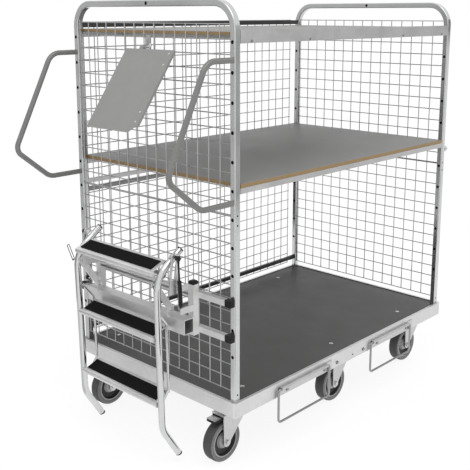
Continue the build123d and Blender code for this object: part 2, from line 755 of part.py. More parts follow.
# Strips on the front rail with a rolled upper edge, bored at both ends for the side loops
eye_y = base_front - eye_standoff
loop_middle = centre_x - loop_shift
loop_centres = (("near", loop_middle - loop_spacing / 2), ("far", loop_middle + loop_spacing / 2))
roll_half = loop_length / 2 - loop_bend - piece_gap
strip_half = loop_length / 2 + strip_overlap
with BuildPart() as loop_strips:
    for loop_name, loop_x in loop_centres:
        strip_x = loop_x + strip_lead
        add_block((strip_x - strip_half, base_front - strip_thickness, strip_bottom),
                  (strip_x + strip_half, base_front, strip_bottom + strip_height))
        add_cross_pin((loop_x, eye_y, eye_height), 2 * roll_half, 2 * eye_radius)
        add_block((loop_x - roll_half, eye_y, eye_height - eye_radius),
                  (loop_x + roll_half, base_front, eye_height + eye_radius))
        for side in (-1, 1):
            add_cross_pin((loop_x + side * roll_half, eye_y, eye_height), 2 * eye_length,
                          loop_rod + 2 * running_gap, Mode.SUBTRACT)
finish(loop_strips, "loop_strips")

for loop_name, loop_x in loop_centres:
    with BuildPart() as side_loop:
        loop_half = loop_length / 2
        loop_low = eye_height - loop_drop
        loop_corners = [(loop_x - loop_half + loop_tail, eye_y, eye_height),
                        (loop_x - loop_half, eye_y, eye_height), (loop_x - loop_half, eye_y, loop_low),
                        (loop_x + loop_half, eye_y, loop_low), (loop_x + loop_half, eye_y, eye_height),
                        (loop_x + loop_half - loop_tail, eye_y, eye_height)]
        add_bent_rod(loop_corners, loop_bend, loop_rod)
    finish(side_loop, f"side_loop_{loop_name}")

# Bolt heads on the front rail, the upper shelf flange and inside the near posts
with BuildPart() as frame_bolts:
    bolt_height = strip_bottom + strip_bolt_rise
    rail_bolts = [(loop_x + place, base_front - strip_thickness, bolt_height)
                  for loop_name, loop_x in loop_centres for place in strip_bolt_places]
    between_strips = (loop_centres[0][1] + strip_lead + strip_half + rail_bolt_gaps[0],
                      loop_centres[1][1] + strip_lead - strip_half - rail_bolt_gaps[1])
    rail_bolts += [(bolt_x, base_front, bolt_height) for bolt_x in between_strips]
    rail_bolts = [(place, bolt_head, bolt_head_height) for place in rail_bolts]
    low_edge = flange_top - top_flange_height + flange_bolt_rise
    for offset in flange_bolt_places:
        for side in (-1, 1):
            place = (centre_x + side * (inner_length / 2 - offset), shelf_front, low_edge)
            rail_bolts.append((place, flange_bolt_head, flange_bolt_height))
    for place, head, height in rail_bolts:
        with BuildSketch(Plane(place, x_dir=(1, 0, 0), z_dir=(0, -1, 0))):
            RegularPolygon(head / 2, 6)
        extrude(amount=height)
    for bolt_y in (front_y, back_y):
        for bolt_z in (handle_top_height, handle_low_height):
            with BuildSketch(Plane((inner_near, bolt_y, bolt_z), x_dir=(0, 1, 0), z_dir=(1, 0, 0))):
                RegularPolygon(bolt_head / 2, 6)
            extrude(amount=bolt_head_height)
finish(frame_bolts, "frame_bolts")

# Casters: four that swivel and trail towards the ladder, and two fixed ones half-way along
leg_inner = hub_width / 2 + fork_gap
leg_outer = leg_inner + fork_wall
leg_middle = (leg_inner + leg_outer) / 2
plate_bottom = base_bottom - plate_thickness
raceway_bottom = plate_bottom - raceway_height
crown_top = raceway_bottom - crown_gap
pedal_pin_height = crown_top - crown_thickness - pedal_below_crown
swivels = [(f"{end}_{side}", near_x + place, mid_y + sign * caster_y)
           for end, place in (("near", king_place), ("far", frame_length - king_place))
           for side, sign in (("front", -1), ("back", 1))]
fixed_casters = [(f"middle_{side}", centre_x, mid_y + sign * caster_y)
                 for side, sign in (("front", -1), ("back", 1))]

with BuildPart() as caster_plates:
    for corner, king_x, king_y in swivels:
        with Locations((king_x, king_y, plate_bottom)):
            Box(plate_length, plate_width, plate_thickness, align=(Align.CENTER, Align.CENTER, Align.MIN))
            Cylinder(raceway_diameter / 2, raceway_height, align=(Align.CENTER, Align.CENTER, Align.MAX))
        pin_bottom = crown_top - crown_thickness - crown_gap
        with Locations((king_x, king_y, pin_bottom)):
            Cylinder(king_pin_diameter / 2, plate_bottom - pin_bottom,
                     align=(Align.CENTER, Align.CENTER, Align.MIN))
            Cylinder(king_head_diameter / 2, king_head_height,
                     align=(Align.CENTER, Align.CENTER, Align.MAX))
finish(caster_plates, "caster_plates")

for corner, king_x, king_y in swivels:
    wheel_x = king_x - trail
    braked = corner.startswith("near")
    with BuildPart() as fork:
        for side in (-1, 1):
            with BuildSketch(Plane.XZ.offset(-king_y - side * leg_middle)):
                with BuildLine():
                    Polyline((wheel_x - fork_half_width, axle_z), (wheel_x - fork_half_width, crown_top),
                             (king_x + fork_head, crown_top), (king_x + fork_head, crown_top - fork_shoulder),
                             (wheel_x + fork_half_width, axle_z), close=True)
                make_face()
                with Locations((wheel_x, axle_z)):
                    Circle(fork_half_width)
            extrude(amount=fork_wall / 2, both=True)
        add_block((wheel_x - fork_half_width, king_y - leg_outer, crown_top - crown_thickness),
                  (king_x + fork_head, king_y + leg_outer, crown_top))
        fillet(fork.edges().filter_by(Axis.X).group_by(Axis.Z)[-1], fork_wall / 2)
        with Locations((king_x, king_y, crown_top)):
            Cylinder(king_pin_diameter / 2 + running_gap, 4 * crown_thickness, mode=Mode.SUBTRACT)
        add_pin((wheel_x, king_y, axle_z), 4 * leg_outer, axle_diameter + 2 * seat_gap, Mode.SUBTRACT)
        if braked:
            add_pin((wheel_x, king_y, pedal_pin_height), 2 * leg_outer, pedal_pin)
    finish(fork, f"fork_{corner}")
    if braked:
        with BuildPart() as pedal:
            add_pin((wheel_x, king_y, pedal_pin_height), pedal_width, pedal_hub)
            pedal_half = pedal_thickness / 2
            add_block((wheel_x - pedal_reach, king_y - pedal_width / 2, pedal_pin_height - pedal_half),
                      (wheel_x, king_y + pedal_width / 2, pedal_pin_height + pedal_half))
            tip_edges = pedal.edges().filter_by(Axis.Z).group_by(Axis.X)[0]
            fillet(tip_edges, pedal_width / 4)
            add_pin((wheel_x, king_y, pedal_pin_height), 2 * pedal_width, pedal_pin + 2 * running_gap,
                    Mode.SUBTRACT)
        finish(pedal, f"brake_pedal_{corner}")

with BuildPart() as fixed_forks:
    for corner, fork_x, fork_y in fixed_casters:
        head_x = fork_x + fixed_lead
        with Locations((head_x, fork_y, base_bottom)):
            Box(plate_length, plate_width, plate_thickness, align=(Align.CENTER, Align.CENTER, Align.MAX))
        for side in (-1, 1):
            with BuildSketch(Plane.XZ.offset(-fork_y - side * leg_middle)):
                with BuildLine():
                    Polyline((fork_x - fork_half_width, axle_z), (fork_x - fork_half_width, plate_bottom),
                             (head_x + fork_head, plate_bottom),
                             (head_x + fork_head, plate_bottom - 2 * fork_shoulder),
                             (fork_x + fork_half_width, axle_z), close=True)
                make_face()
                with Locations((fork_x, axle_z)):
                    Circle(fork_half_width)
            extrude(amount=fork_wall / 2, both=True)
        add_pin((fork_x, fork_y, axle_z), 4 * leg_outer, axle_diameter + 2 * seat_gap, Mode.SUBTRACT)
finish(fixed_forks, "fixed_forks")


def add_axle(axle_x, axle_y):
    """Adds a wheel bolt with a hexagon head on each side of the fork."""
    add_pin((axle_x, axle_y, axle_z), 2 * leg_outer, axle_diameter)
    for side in (-1, 1):
        with BuildSketch(Plane.XZ.offset(-axle_y - side * (leg_outer + axle_head_height / 2)),
                         mode=Mode.PRIVATE) as hexagon:
            with Locations((axle_x, axle_z)):
                RegularPolygon(axle_head / 2, 6)
        extrude(hexagon.sketch, amount=axle_head_height / 2, both=True)


for corner, king_x, king_y in swivels:
    with BuildPart() as axle:
        add_axle(king_x - trail, king_y)
    finish(axle, f"axle_{corner}")

with BuildPart() as fixed_axles:
    for corner, fork_x, fork_y in fixed_casters:
        add_axle(fork_x, fork_y)
finish(fixed_axles, "fixed_axles")

# Wheels: a grey tyre round a moulded rim that turns on the wheel bolt
wheels = [(corner, x - trail, y) for corner, x, y in swivels] + fixed_casters
rim_outer = rim_diameter / 2 - seat_gap
for corner, wheel_x, wheel_y in wheels:
    wheel_plane = Plane((wheel_x, wheel_y, axle_z), x_dir=(1, 0, 0), z_dir=(0, 0, 1))
    wheel_axis = Axis((wheel_x, wheel_y, axle_z), (0, 1, 0))
    with BuildPart() as tyre:
        with BuildSketch(wheel_plane) as tyre_section:
            with Locations(((rim_diameter + wheel_diameter) / 4, 0)):
                Rectangle((wheel_diameter - rim_diameter) / 2, tyre_width)
            fillet(tyre_section.vertices().group_by(Axis.X)[-1], tyre_thickness * 2 / 3)
        revolve(axis=wheel_axis)
    finish(tyre, f"tyre_{corner}")
    with BuildPart() as rim:
        with BuildSketch(wheel_plane):
            with Locations((rim_outer / 2, 0)):
                Rectangle(rim_outer, web_thickness)
            with Locations((rim_outer - rim_wall / 2, 0)):
                Rectangle(rim_wall, rim_width)
            with Locations((hub_diameter / 4, 0)):
                Rectangle(hub_diameter / 2, hub_width)
            with Locations(((axle_diameter / 2 + running_gap) / 2, 0)):
                Rectangle(axle_diameter / 2 + running_gap, 2 * hub_width, mode=Mode.SUBTRACT)
        revolve(axis=wheel_axis)
    finish(rim, f"rim_{corner}")

# Bracket: arms from the post clamps, uprights, a cross beam, arm ears and spring arms
upright_back = out(bracket_arm)
upright_front = upright_back - upright_depth
beam_front = upright_front - beam_depth
beam_top = beam_bottom + beam_height
stringer_inner = ladder_half_width - stringer_diameter / 2
stringer_outer = ladder_half_width + stringer_diameter / 2
arm_outer = stringer_inner - arm_side_gap
arm_inner = arm_outer - arm_thickness
arm_ear_outer = arm_inner - side_play
arm_ear_inner = arm_ear_outer - ear_thickness
guide_inner = stringer_outer + guide_boss_reach + guide_plate_gap
guide_outer = guide_inner + guide_plate_thickness
upright_inner = guide_outer
upright_outer = upright_inner + upright_width
spring_place = guide_outer + spring_offset
spring_inner = spring_place - spring_eye_width / 2
spring_outer = spring_place + spring_eye_width / 2
spring_x = out(spring_foot_out)
spring_arm_inner = spring_outer + side_play
spring_arm_outer = spring_arm_inner + ear_thickness
with BuildPart() as ladder_bracket:
    for side in (-1, 1):
        upright_far = mid_y + side * upright_outer
        upright_near = mid_y + side * upright_inner
        add_block((upright_front, upright_near, upright_bottom), (upright_back, upright_far, upright_top))
        for height in bracket_arm_heights:
            arm_end = mid_y + side * (frame_width / 2 - clamp_length)
            add_block((upright_back, upright_near, height - bracket_arm / 2),
                      (near_x, arm_end, height + bracket_arm / 2))
    add_block((beam_front, mid_y - upright_outer, beam_bottom),
              (upright_front, mid_y + upright_outer, beam_top))
    add_block((beam_front + beam_wall, mid_y - 2 * upright_outer, beam_bottom + beam_wall),
              (upright_front - beam_wall, mid_y + 2 * upright_outer, beam_top - beam_wall), Mode.SUBTRACT)
    for side in (-1, 1):
        ear_near = mid_y + side * arm_ear_inner
        ear_far = mid_y + side * arm_ear_outer
        pivot = (out(arm_pivot_out), (ear_near + ear_far) / 2, arm_pivot_height)
        add_pin(pivot, ear_thickness, arm_width)
        add_block((out(arm_pivot_out) - arm_width / 2, ear_near, beam_top - beam_wall),
                  (out(arm_pivot_out) + arm_width / 2, ear_far, arm_pivot_height))
        add_block((spring_x - spring_arm_height / 2, mid_y + side * spring_arm_inner,
                   spring_foot_height - spring_arm_height / 2),
                  (upright_front + hoop_wall, mid_y + side * spring_arm_outer,
                   spring_foot_height + spring_arm_height / 2))
        stud_length = spring_arm_inner - spring_inner + piece_gap
        stud_middle = mid_y + side * (spring_arm_inner - stud_length / 2)
        add_pin((spring_x, stud_middle, spring_foot_height), stud_length, spring_stud)
    for side in (-1, 1):
        add_pin((out(arm_pivot_out), mid_y + side * arm_ear_inner, arm_pivot_height), 4 * ear_thickness,
                arm_pin + 2 * seat_gap, Mode.SUBTRACT)
finish(ladder_bracket, "ladder_bracket")

# Guide plates with the slanted slots, bolted to the inner faces of the uprights
slot_width = guide_stud + 2 * slot_play
slot_middle = (out((guide_out + guide_end_out) / 2), (guide_height + guide_end_height) / 2)
slot_run = (guide_end_out - guide_out, guide_height - guide_end_height)
slot_angle = degrees(atan2(slot_run[1], slot_run[0]))
plate_half = slot_width / 2 + guide_margin
guide_foot_bottom = upright_top - guide_foot_height
with BuildPart() as guide_plates:
    for side in (-1, 1):
        guide_middle = mid_y + side * (guide_inner + guide_outer) / 2
        with BuildSketch(Plane.XZ.offset(-guide_middle)):
            with Locations(slot_middle):
                SlotCenterToCenter(hypot(*slot_run), 2 * plate_half, rotation=slot_angle)
            with BuildLine():
                Polyline((out(guide_end_out + plate_half), guide_foot_bottom),
                         (out(guide_end_out + plate_half), guide_end_height),
                         (out(guide_end_out - plate_half), guide_end_height),
                         (out(guide_end_out - plate_half), upright_top), (upright_back, upright_top),
                         (upright_back, guide_foot_bottom), close=True)
            make_face()
            with Locations(slot_middle):
                SlotCenterToCenter(hypot(*slot_run), slot_width, rotation=slot_angle, mode=Mode.SUBTRACT)
        extrude(amount=guide_plate_thickness / 2, both=True)
finish(guide_plates, "guide_plates")

# Lift arms and their pivot pins
with BuildPart() as lift_arms:
    for side in (-1, 1):
        arm_middle = mid_y + side * (arm_inner + arm_outer) / 2
        arm_centre = (out((arm_pivot_out + arm_hinge_out) / 2), (arm_pivot_height + arm_hinge_height) / 2)
        arm_angle = 90 + degrees(arm_rest)
        with BuildSketch(Plane.XZ.offset(-arm_middle)):
            with Locations(arm_centre):
                SlotCenterToCenter(arm_length, arm_width, rotation=arm_angle)
            with Locations((out(arm_pivot_out), arm_pivot_height), (out(arm_hinge_out), arm_hinge_height)):
                Circle(arm_pin / 2 + running_gap, mode=Mode.SUBTRACT)
        extrude(amount=arm_thickness / 2, both=True)
finish(lift_arms, "lift_arms")

with BuildPart() as lift_pins:
    for side in (-1, 1):
        pin_far = arm_outer + arm_side_gap / 2
        pin_near = arm_ear_inner - arm_side_gap
        add_pin((out(arm_pivot_out), mid_y + side * (pin_far + pin_near) / 2, arm_pivot_height),
                pin_far - pin_near, arm_pin)
finish(lift_pins, "lift_pins")

# Ladder stringers with guide bosses, hinge studs and a cross tube
step_width = 2 * (stringer_inner - piece_gap)
with BuildPart() as ladder_stringers:
    for side in (-1, 1):
        rail_y = mid_y + side * ladder_half_width
        add_bent_rod(((out(stringer_top_out), rail_y, stringer_top_height),
                      (out(stringer_shoulder_out), rail_y, stringer_shoulder_height),
                      (out(stringer_knee_out), rail_y, stringer_knee_height),
                      (out(stringer_end_out), rail_y, stringer_end_height)),
                     (shoulder_bend, knee_bend), stringer_diameter, stringer_bore)
        boss_end = stringer_outer + guide_boss_reach
        boss_start = ladder_half_width + stringer_bore / 4
        add_pin((out(guide_out), mid_y + side * (boss_start + boss_end) / 2, guide_height),
                boss_end - boss_start, guide_boss)
        shoulder_end = guide_outer + guide_plate_gap
        add_pin((out(guide_out), mid_y + side * (boss_start + shoulder_end) / 2, guide_height),
                shoulder_end - boss_start, guide_stud)
        add_pin((out(guide_out), mid_y + side * (boss_start + spring_outer) / 2, guide_height),
                spring_outer - boss_start, spring_stud)
        stud_start = arm_inner
        stud_end = ladder_half_width - stringer_bore / 4
        add_pin((out(arm_hinge_out), mid_y + side * (stud_start + stud_end) / 2, arm_hinge_height),
                stud_end - stud_start, arm_pin)
    add_pin((out(cross_tube_out), mid_y, cross_tube_height), 2 * ladder_half_width, cross_tube_diameter)
    lever_pin_y = mid_y + ladder_half_width + stringer_diameter / 4 + lever_thickness
    lever_pin_length = stringer_diameter / 2 + 2 * lever_thickness
    add_pin((out(lever_out), lever_pin_y, lever_height), lever_pin_length, lever_pin)
finish(ladder_stringers, "ladder_stringers")

# Thin rear rods that hold the backs of the lower steps
with BuildPart() as ladder_rear_rods:
    for side in (-1, 1):
        rod_y = mid_y + side * (stringer_inner - rear_rod_diameter / 2 - piece_gap)
        rod_insets = (rear_rod_inset, rear_rod_reach, rear_rod_reach, rear_rod_inset)
        rod_corners = [(out(leg_out(rod_z) - inset), rod_y, rod_z)
                       for inset, rod_z in zip(rod_insets, rear_rod_height)]
        add_bent_rod(rod_corners, rear_rod_bend, rear_rod_diameter)
finish(ladder_rear_rods, "ladder_rear_rods")

# Steps: a plate with a round nose and a back lip, tilted up at the rear while the ladder is raised
with BuildPart() as ladder_steps:
    for front_out, front_height in step_fronts:
        step_plane = Plane((out(front_out), mid_y, front_height),
                           x_dir=(cos(swing), 0, sin(swing)), z_dir=(0, -1, 0))
        rods_beside = front_height < rear_rod_height[0]
        half_width = step_width / 2 - (rear_rod_diameter + 2 * piece_gap if rods_beside else 0)
        with BuildSketch(step_plane):
            with Locations((step_depth / 2 - step_nose / 2, -tread_thickness - step_plate / 2)):
                Rectangle(step_depth, step_plate)
            with Locations((-step_nose / 2, -tread_thickness - step_nose / 2)):
                Circle(step_nose / 2)
            lip_x = step_depth - step_nose / 2 - step_plate / 2
            with Locations((lip_x, -tread_thickness - step_back_lip / 2)):
                Rectangle(step_plate, step_back_lip)
        extrude(amount=half_width, both=True)
        with BuildSketch(step_plane):
            with Locations((-step_nose / 2, -tread_thickness - step_nose / 2)):
                Circle(step_nose / 2)
        extrude(amount=step_width / 2, both=True)
finish(ladder_steps, "ladder_steps")

with BuildPart() as step_treads:
    for front_out, front_height in step_fronts:
        step_plane = Plane((out(front_out), mid_y, front_height),
                           x_dir=(cos(swing), 0, sin(swing)), z_dir=(0, -1, 0))
        with BuildSketch(step_plane):
            with Locations((tread_depth / 2, -tread_thickness / 2)):
                Rectangle(tread_depth, tread_thickness)
        extrude(amount=step_width / 2 - tread_inset, both=True)
finish(step_treads, "step_treads")

# Black end plugs: the lower ones lie level on the floor when the ladder is down
foot_axis = Vector(-end_unit[0], 0, end_unit[1])
sole_normal = Vector(sin(swing), 0, -cos(swing))
cap_axis = Vector(-top_unit[0], 0, top_unit[1])
with BuildPart() as ladder_feet:
    for side in (-1, 1):
        rail_y = mid_y + side * ladder_half_width
        rail_end = Vector(out(stringer_end_out), rail_y, stringer_end_height)
        sole_point = Vector(out(sole_out), rail_y, sole_height)
        with BuildSketch(Plane(rail_end, z_dir=foot_axis)):
            Circle(stringer_diameter / 2)
        extrude(amount=stringer_diameter + foot_sole)
        with BuildSketch(Plane(sole_point, z_dir=sole_normal)):
            Rectangle(4 * stringer_diameter, 4 * stringer_diameter)
        extrude(amount=4 * stringer_diameter, mode=Mode.SUBTRACT)
        cap_start = Vector(out(stringer_top_out), rail_y, stringer_top_height)
        with BuildSketch(Plane(cap_start, z_dir=cap_axis)):
            Circle(stringer_diameter / 2)
        extrude(amount=cap_thickness)
finish(ladder_feet, "ladder_feet")

# Gas springs: cylinders on the bracket studs and rods on the ladder's guide studs
spring_rest = Vector(out(guide_out) - spring_x, 0, guide_height - spring_foot_height)
spring_unit = spring_rest.normalized()
with BuildPart() as gas_cylinders:
    for side in (-1, 1):
        foot = Vector(spring_x, mid_y + side * spring_place, spring_foot_height)
        with BuildSketch(Plane(foot + spring_unit * spring_eye, z_dir=spring_unit)):
            Circle(cylinder_diameter / 2)
        extrude(amount=cylinder_length - spring_eye)
        with BuildSketch(Plane(foot + spring_unit * (spring_eye + cylinder_floor), z_dir=spring_unit)):
            Circle(cylinder_bore / 2)
        extrude(amount=cylinder_length, mode=Mode.SUBTRACT)
        with BuildSketch(Plane(foot, z_dir=spring_unit)):
            Circle(spring_neck / 2)
        extrude(amount=spring_eye + cylinder_floor / 2)
        add_pin(tuple(foot), spring_eye_width, spring_eye)
        add_pin(tuple(foot), 2 * spring_eye, spring_stud + 2 * running_gap, Mode.SUBTRACT)
finish(gas_cylinders, "gas_cylinders")

with BuildPart() as gas_rods:
    for side in (-1, 1):
        top = Vector(out(guide_out), mid_y + side * spring_place, guide_height)
        add_pin(tuple(top), spring_eye_width, spring_eye)
        with BuildSketch(Plane(top - spring_unit * gas_rod_length, z_dir=spring_unit)):
            Circle(gas_rod_diameter / 2)
        extrude(amount=gas_rod_length)
        add_pin(tuple(top), 2 * spring_eye, spring_stud + 2 * running_gap, Mode.SUBTRACT)
finish(gas_rods, "gas_rods")

# Release lever on the outer side of the back stringer
lever_angle = radians(lever_lean)
with BuildPart() as release_lever:
    lever_y = mid_y + stringer_outer + 1.5 * lever_thickness
    lever_end = (out(lever_out) - lever_length * sin(lever_angle),
                 lever_height + lever_length * cos(lever_angle))
    lever_centre = ((out(lever_out) + lever_end[0]) / 2, (lever_height + lever_end[1]) / 2)
    with BuildSketch(Plane.XZ.offset(-lever_y)):
        with Locations(lever_centre):
            SlotCenterToCenter(lever_length, lever_width, rotation=90 + lever_lean)
        with Locations((out(lever_out), lever_height)):
            Circle(lever_pin / 2 + running_gap, mode=Mode.SUBTRACT)
    extrude(amount=lever_thickness / 2, both=True)
finish(release_lever, "release_lever")
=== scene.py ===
import json
from math import cos, pi, radians, sin

import bmesh
import bpy
from bpy.props import FloatProperty, FloatVectorProperty, IntProperty, PointerProperty
from bpy.types import Operator, Panel, PropertyGroup
from mathutils import Matrix, Vector


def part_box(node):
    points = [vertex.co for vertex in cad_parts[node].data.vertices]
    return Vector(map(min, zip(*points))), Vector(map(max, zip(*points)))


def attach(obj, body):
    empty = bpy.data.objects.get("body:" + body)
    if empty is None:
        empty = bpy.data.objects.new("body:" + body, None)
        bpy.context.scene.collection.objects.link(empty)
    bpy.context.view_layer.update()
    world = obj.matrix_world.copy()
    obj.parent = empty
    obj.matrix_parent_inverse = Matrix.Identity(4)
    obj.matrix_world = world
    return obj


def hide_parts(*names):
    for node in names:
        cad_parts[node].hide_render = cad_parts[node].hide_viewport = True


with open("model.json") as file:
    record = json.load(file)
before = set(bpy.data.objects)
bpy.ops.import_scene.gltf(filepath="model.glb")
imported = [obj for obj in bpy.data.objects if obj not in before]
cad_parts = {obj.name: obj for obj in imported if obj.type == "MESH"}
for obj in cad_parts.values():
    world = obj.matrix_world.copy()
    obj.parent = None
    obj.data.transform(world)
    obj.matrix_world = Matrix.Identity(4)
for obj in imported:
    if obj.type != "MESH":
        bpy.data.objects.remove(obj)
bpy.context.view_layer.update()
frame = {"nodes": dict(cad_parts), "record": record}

bl_info = {
    "name": "Order picking cart",
    "version": (1, 0, 0),
    "blender": (4, 5, 0),
    "location": "View3D > Sidebar > Cart",
    "description": "Dresses the packed cart with wire panels, wheels, boards, bolts and finishes",
    "category": "Object",
}

AXIS_X = Vector((1.0, 0.0, 0.0))
AXIS_Y = Vector((0.0, 1.0, 0.0))
AXIS_Z = Vector((0.0, 0.0, 1.0))
WHITE = (1.0, 1.0, 1.0, 1.0)

# Wheels by their place, those with a brake, and the two sides of the ladder
CORNERS = ("near_front", "near_back", "far_front", "far_back", "middle_front", "middle_back")
BRAKED = ("near_front", "near_back")
SIDES = ("front", "back")

# Distances in metres within which corners lie on one face, or are one corner
ON_FACE = 0.0001
ONE_CORNER = 0.00001
# Digits of a metre to which solids are compared
DIGITS = 4
# Steps along a bend
BEND_STEPS = 12

# Panel wires lie this share of a wire to either side of the panel's middle
WIRE_LAYER = 0.42
# Depth of the near-black sheet of painted shade below the outside of its hoop tube, in walls
SHADE_LINING_DEPTH = 1.15
# Parts of a hexagon bolt: shares of its rise, and reach of the washer and crown in head radii
WASHER_RISE = 0.22
BODY_RISE = 0.6
CROWN_RISE = 0.18
WASHER_REACH = 1.2
CROWN_REACH = 0.8
# Parts of a domed bolt: reach of the dome in head radii, and the flange's share of the rise
DOME_REACH = 0.86
FLANGE_RISE = 0.3
# Board rivets: distances below the board's top edge in metres, and their rise in diameters
RIVET_PLACES = (0.015, 0.060, 0.249, 0.287)
RIVET_RISE = 0.15
# Plated cap of a brake pedal: inset in pedal widths, depths, bare heel and rounding in metres
PEDAL_INSET = 0.06
PEDAL_FOOT = 0.0026
PEDAL_HEAD = 0.0012
PEDAL_HEEL = 0.016
PEDAL_EDGE = 0.0005
# Faces of a board whose normal points up or down by more than this aren't its cut edges
FACE_NORMAL = 0.6

# End of a gas spring, radius and distance from the eye in metres: head along the stud, neck down the rod
SPRING_HEAD = ((0.0052, -0.0080), (0.0074, -0.0072), (0.0086, -0.0055), (0.0086, 0.0080), (0.0074, 0.0098),
               (0.0052, 0.0106))
SPRING_NECK = ((0.0052, 0.0040), (0.0060, 0.0075), (0.0048, 0.0112), (0.0042, 0.0180), (0.0037, 0.0195))

# Half profiles of a wheel: radius in wheel radii, side in half widths, and which finish the band after it has
TYRE_FINISHES = ("grey_tyre", "tyre_side")
TYRE_HALF = ((1.0, 0.55, 0), (0.985, 0.78, 0), (0.955, 0.93, 1), (0.90, 1.0, 1), (0.815, 0.985, 1),
             (0.785, 0.93, 1))
TYRE_SEAT = (0.776, 0.0, 1)
# The rim's middle finish is painted shade that darkens the recess of its web
RIM_FINISHES = ("wheel_core", "wheel_recess", "zinc_steel")
RIM_HALF = ((0.774, 0.90, 0), (0.735, 0.95, 0), (0.70, 0.90, 1), (0.64, 0.42, 1), (0.40, 0.34, 0),
            (0.355, 0.50, 0), (0.335, 0.72, 0), (0.30, 0.80, 0), (0.20, 0.84, 2))
# Outside and bore of a wheel's hub in wheel radii, and its finish
HUB_RADII = (0.185, 0.0765)
HUB_FINISH = 2

# Depth of the relief of every finish in metres
RELIEF_DEPTH = 0.0006
# Shade that the flakes of plated steel darken to
FLAKE_SHADE = (0.12, 0.13, 0.14, 1.0)
# Plated pair of back rails: height between them, reach to either side, and the painted shade that darkens the
# lower one
PAIR_HEIGHT = 0.94
PAIR_REACH = 0.1
PAIR_PAINTED_SHADE = 0.45
# Cut ply: shades of its light and dark layers, roughness and relief
PLY_LIGHT = 1.2
PLY_DARK = 0.38
PLY_ROUGHNESS = 0.62
PLY_RELIEF = 0.15

# Plated finishes: slot, label, colour setting, gloss from smooth to rough, depth of the flakes, relief
PLATED = (
    ("zinc_steel", "Bright zinc", "zinc", (0.14, 0.24), 0.02, 0.006),
    ("chrome", "Polished tube", "chrome", (0.06, 0.13), 0.0, 0.0),
    ("satin", "Satin zinc", "satin", (0.36, 0.52), 0.05, 0.006),
    # Painted light: the satin zinc drawn lighter for the base
    ("base", "Base zinc", "base", (0.36, 0.52), 0.05, 0.006),
    # Painted light: the satin zinc drawn lighter for the ladder's steps, arms, guide plates and bracket
    ("light", "Light zinc", "light", (0.36, 0.52), 0.05, 0.006),
    ("wire", "Zinc wire", "wire", (0.25, 0.42), 0.03, 0.006),
    ("dull", "Dull zinc", "dull", (0.22, 0.36), 0.02, 0.006),
)
# Other finishes: slot, label, colour setting, spread, gloss, scale of patches and of grain, relief, shine
COATED = (
    ("deck_ply", "Deck film", "deck", 0.08, (0.40, 0.52), 7.0, 900.0, 0.10, 0.35),
    ("shelf_ply", "Shelf laminate", "shelf", 0.04, (0.42, 0.54), 5.0, 900.0, 0.04, 0.3),
    ("grey_tube", "Grey handle coat", "handle", 0.05, (0.20, 0.30), 18.0, 600.0, 0.02, 0.5),
    ("board_sheet", "Writing board sheet", "board", 0.04, (0.42, 0.54), 14.0, 800.0, 0.03, 0.35),
    ("black_plastic", "Black moulding", "black", 0.25, (0.36, 0.5), 40.0, 900.0, 0.08, 0.15),
    ("gas_black", "Black spring tube", "black", 0.15, (0.25, 0.35), 60.0, 700.0, 0.03, 0.2),
    ("black_grip", "Step grip", "tread", 0.35, (0.8, 0.95), 220.0, 1400.0, 0.5, 0.12),
    ("grey_tyre", "Tyre tread", "tyre", 0.12, (0.55, 0.7), 26.0, 900.0, 0.10, 0.3),
    ("tyre_side", "Tyre side", "tyre_side", 0.08, (0.5, 0.62), 26.0, 900.0, 0.06, 0.3),
    ("wheel_core", "Wheel core", "wheel", 0.07, (0.36, 0.5), 30.0, 800.0, 0.05, 0.5),
    # Painted shade: the recess of the wheel web is painted black
    ("wheel_recess", "Wheel recess", "black", 0.2, (0.5, 0.65), 30.0, 800.0, 0.05, 0.5),
    # Painted shade: the near-black finish inside the hoop tubes, where there is only shade
    ("lining", "Tube inside", "tread", 0.3, (0.8, 0.95), 30.0, 800.0, 0.05, 0.05),
)
# Nodes whose finish isn't the one of their slot
OWN_FINISH = {
    "satin": ("mid_shelf_frame", "top_shelf_frame", "caster_plates", "fixed_forks", "fork_near_front",
              "fork_near_back", "fork_far_front", "fork_far_back", "loop_strips", "board_bracket"),
    # The ladder parts take the lighter zinc, which is painted light
    "light": ("ladder_bracket", "guide_plates", "ladder_steps", "lift_arms"),
    "chrome": ("ladder_stringers", "ladder_rear_rods"),
    "dull": ("side_loop_near", "side_loop_far"),
    # The base takes a lighter copy of the satin zinc, painted light
    "base": ("base_frame",),
    # The rail finish paints a dark reflection on the upper and lower back rail, and shade on the lower rail
    # of the pair
    "rail": ("back_rails",),
}

# Floor: half its width in metres, and its shade
FLOOR_REACH = 40.0
FLOOR_SHADE = 0.15
# Key light: place, the point it looks at, and diameter in metres
KEY_PLACE = Vector((-1.4, -1.6, 4.4))
KEY_TARGET = Vector((0.0, 0.0, 0.7))
KEY_SIZE = 3.2
# Cards round the cart, for reflections only: name, heading in degrees, distance, width, foot, top, shade
ROUND_CARDS = (
    ("grey_right", 310.3, 3.625, 1.95, 0.0, 2.3, 0.50),
    ("grey_flange", 332.2, 3.73, 0.85, 1.43, 2.3, 0.25),
    ("dark_back", 98.0, 3.6, 0.9, 0.0, 2.6, 0.03),
    ("pale_left", 137.0, 3.7, 3.2, 0.0, 2.6, 0.62),
    ("dark_front", 272.0, 3.6, 0.7, 0.0, 2.6, 0.05),
    ("dark_left", 170.0, 3.8, 0.5, 0.0, 2.6, 0.05),
)
# Cards on the floor: name, low and high corner, shade, and how high they lie in metres
FLOOR_CARDS = (
    ("floor_dark", (-1.35, -3.2), (-0.66, -1.2), 0.02),
    ("floor_grey", (-5.0, 0.05), (-0.85, 5.0), 0.80),
)
FLOOR_CARD_HEIGHT = 0.002
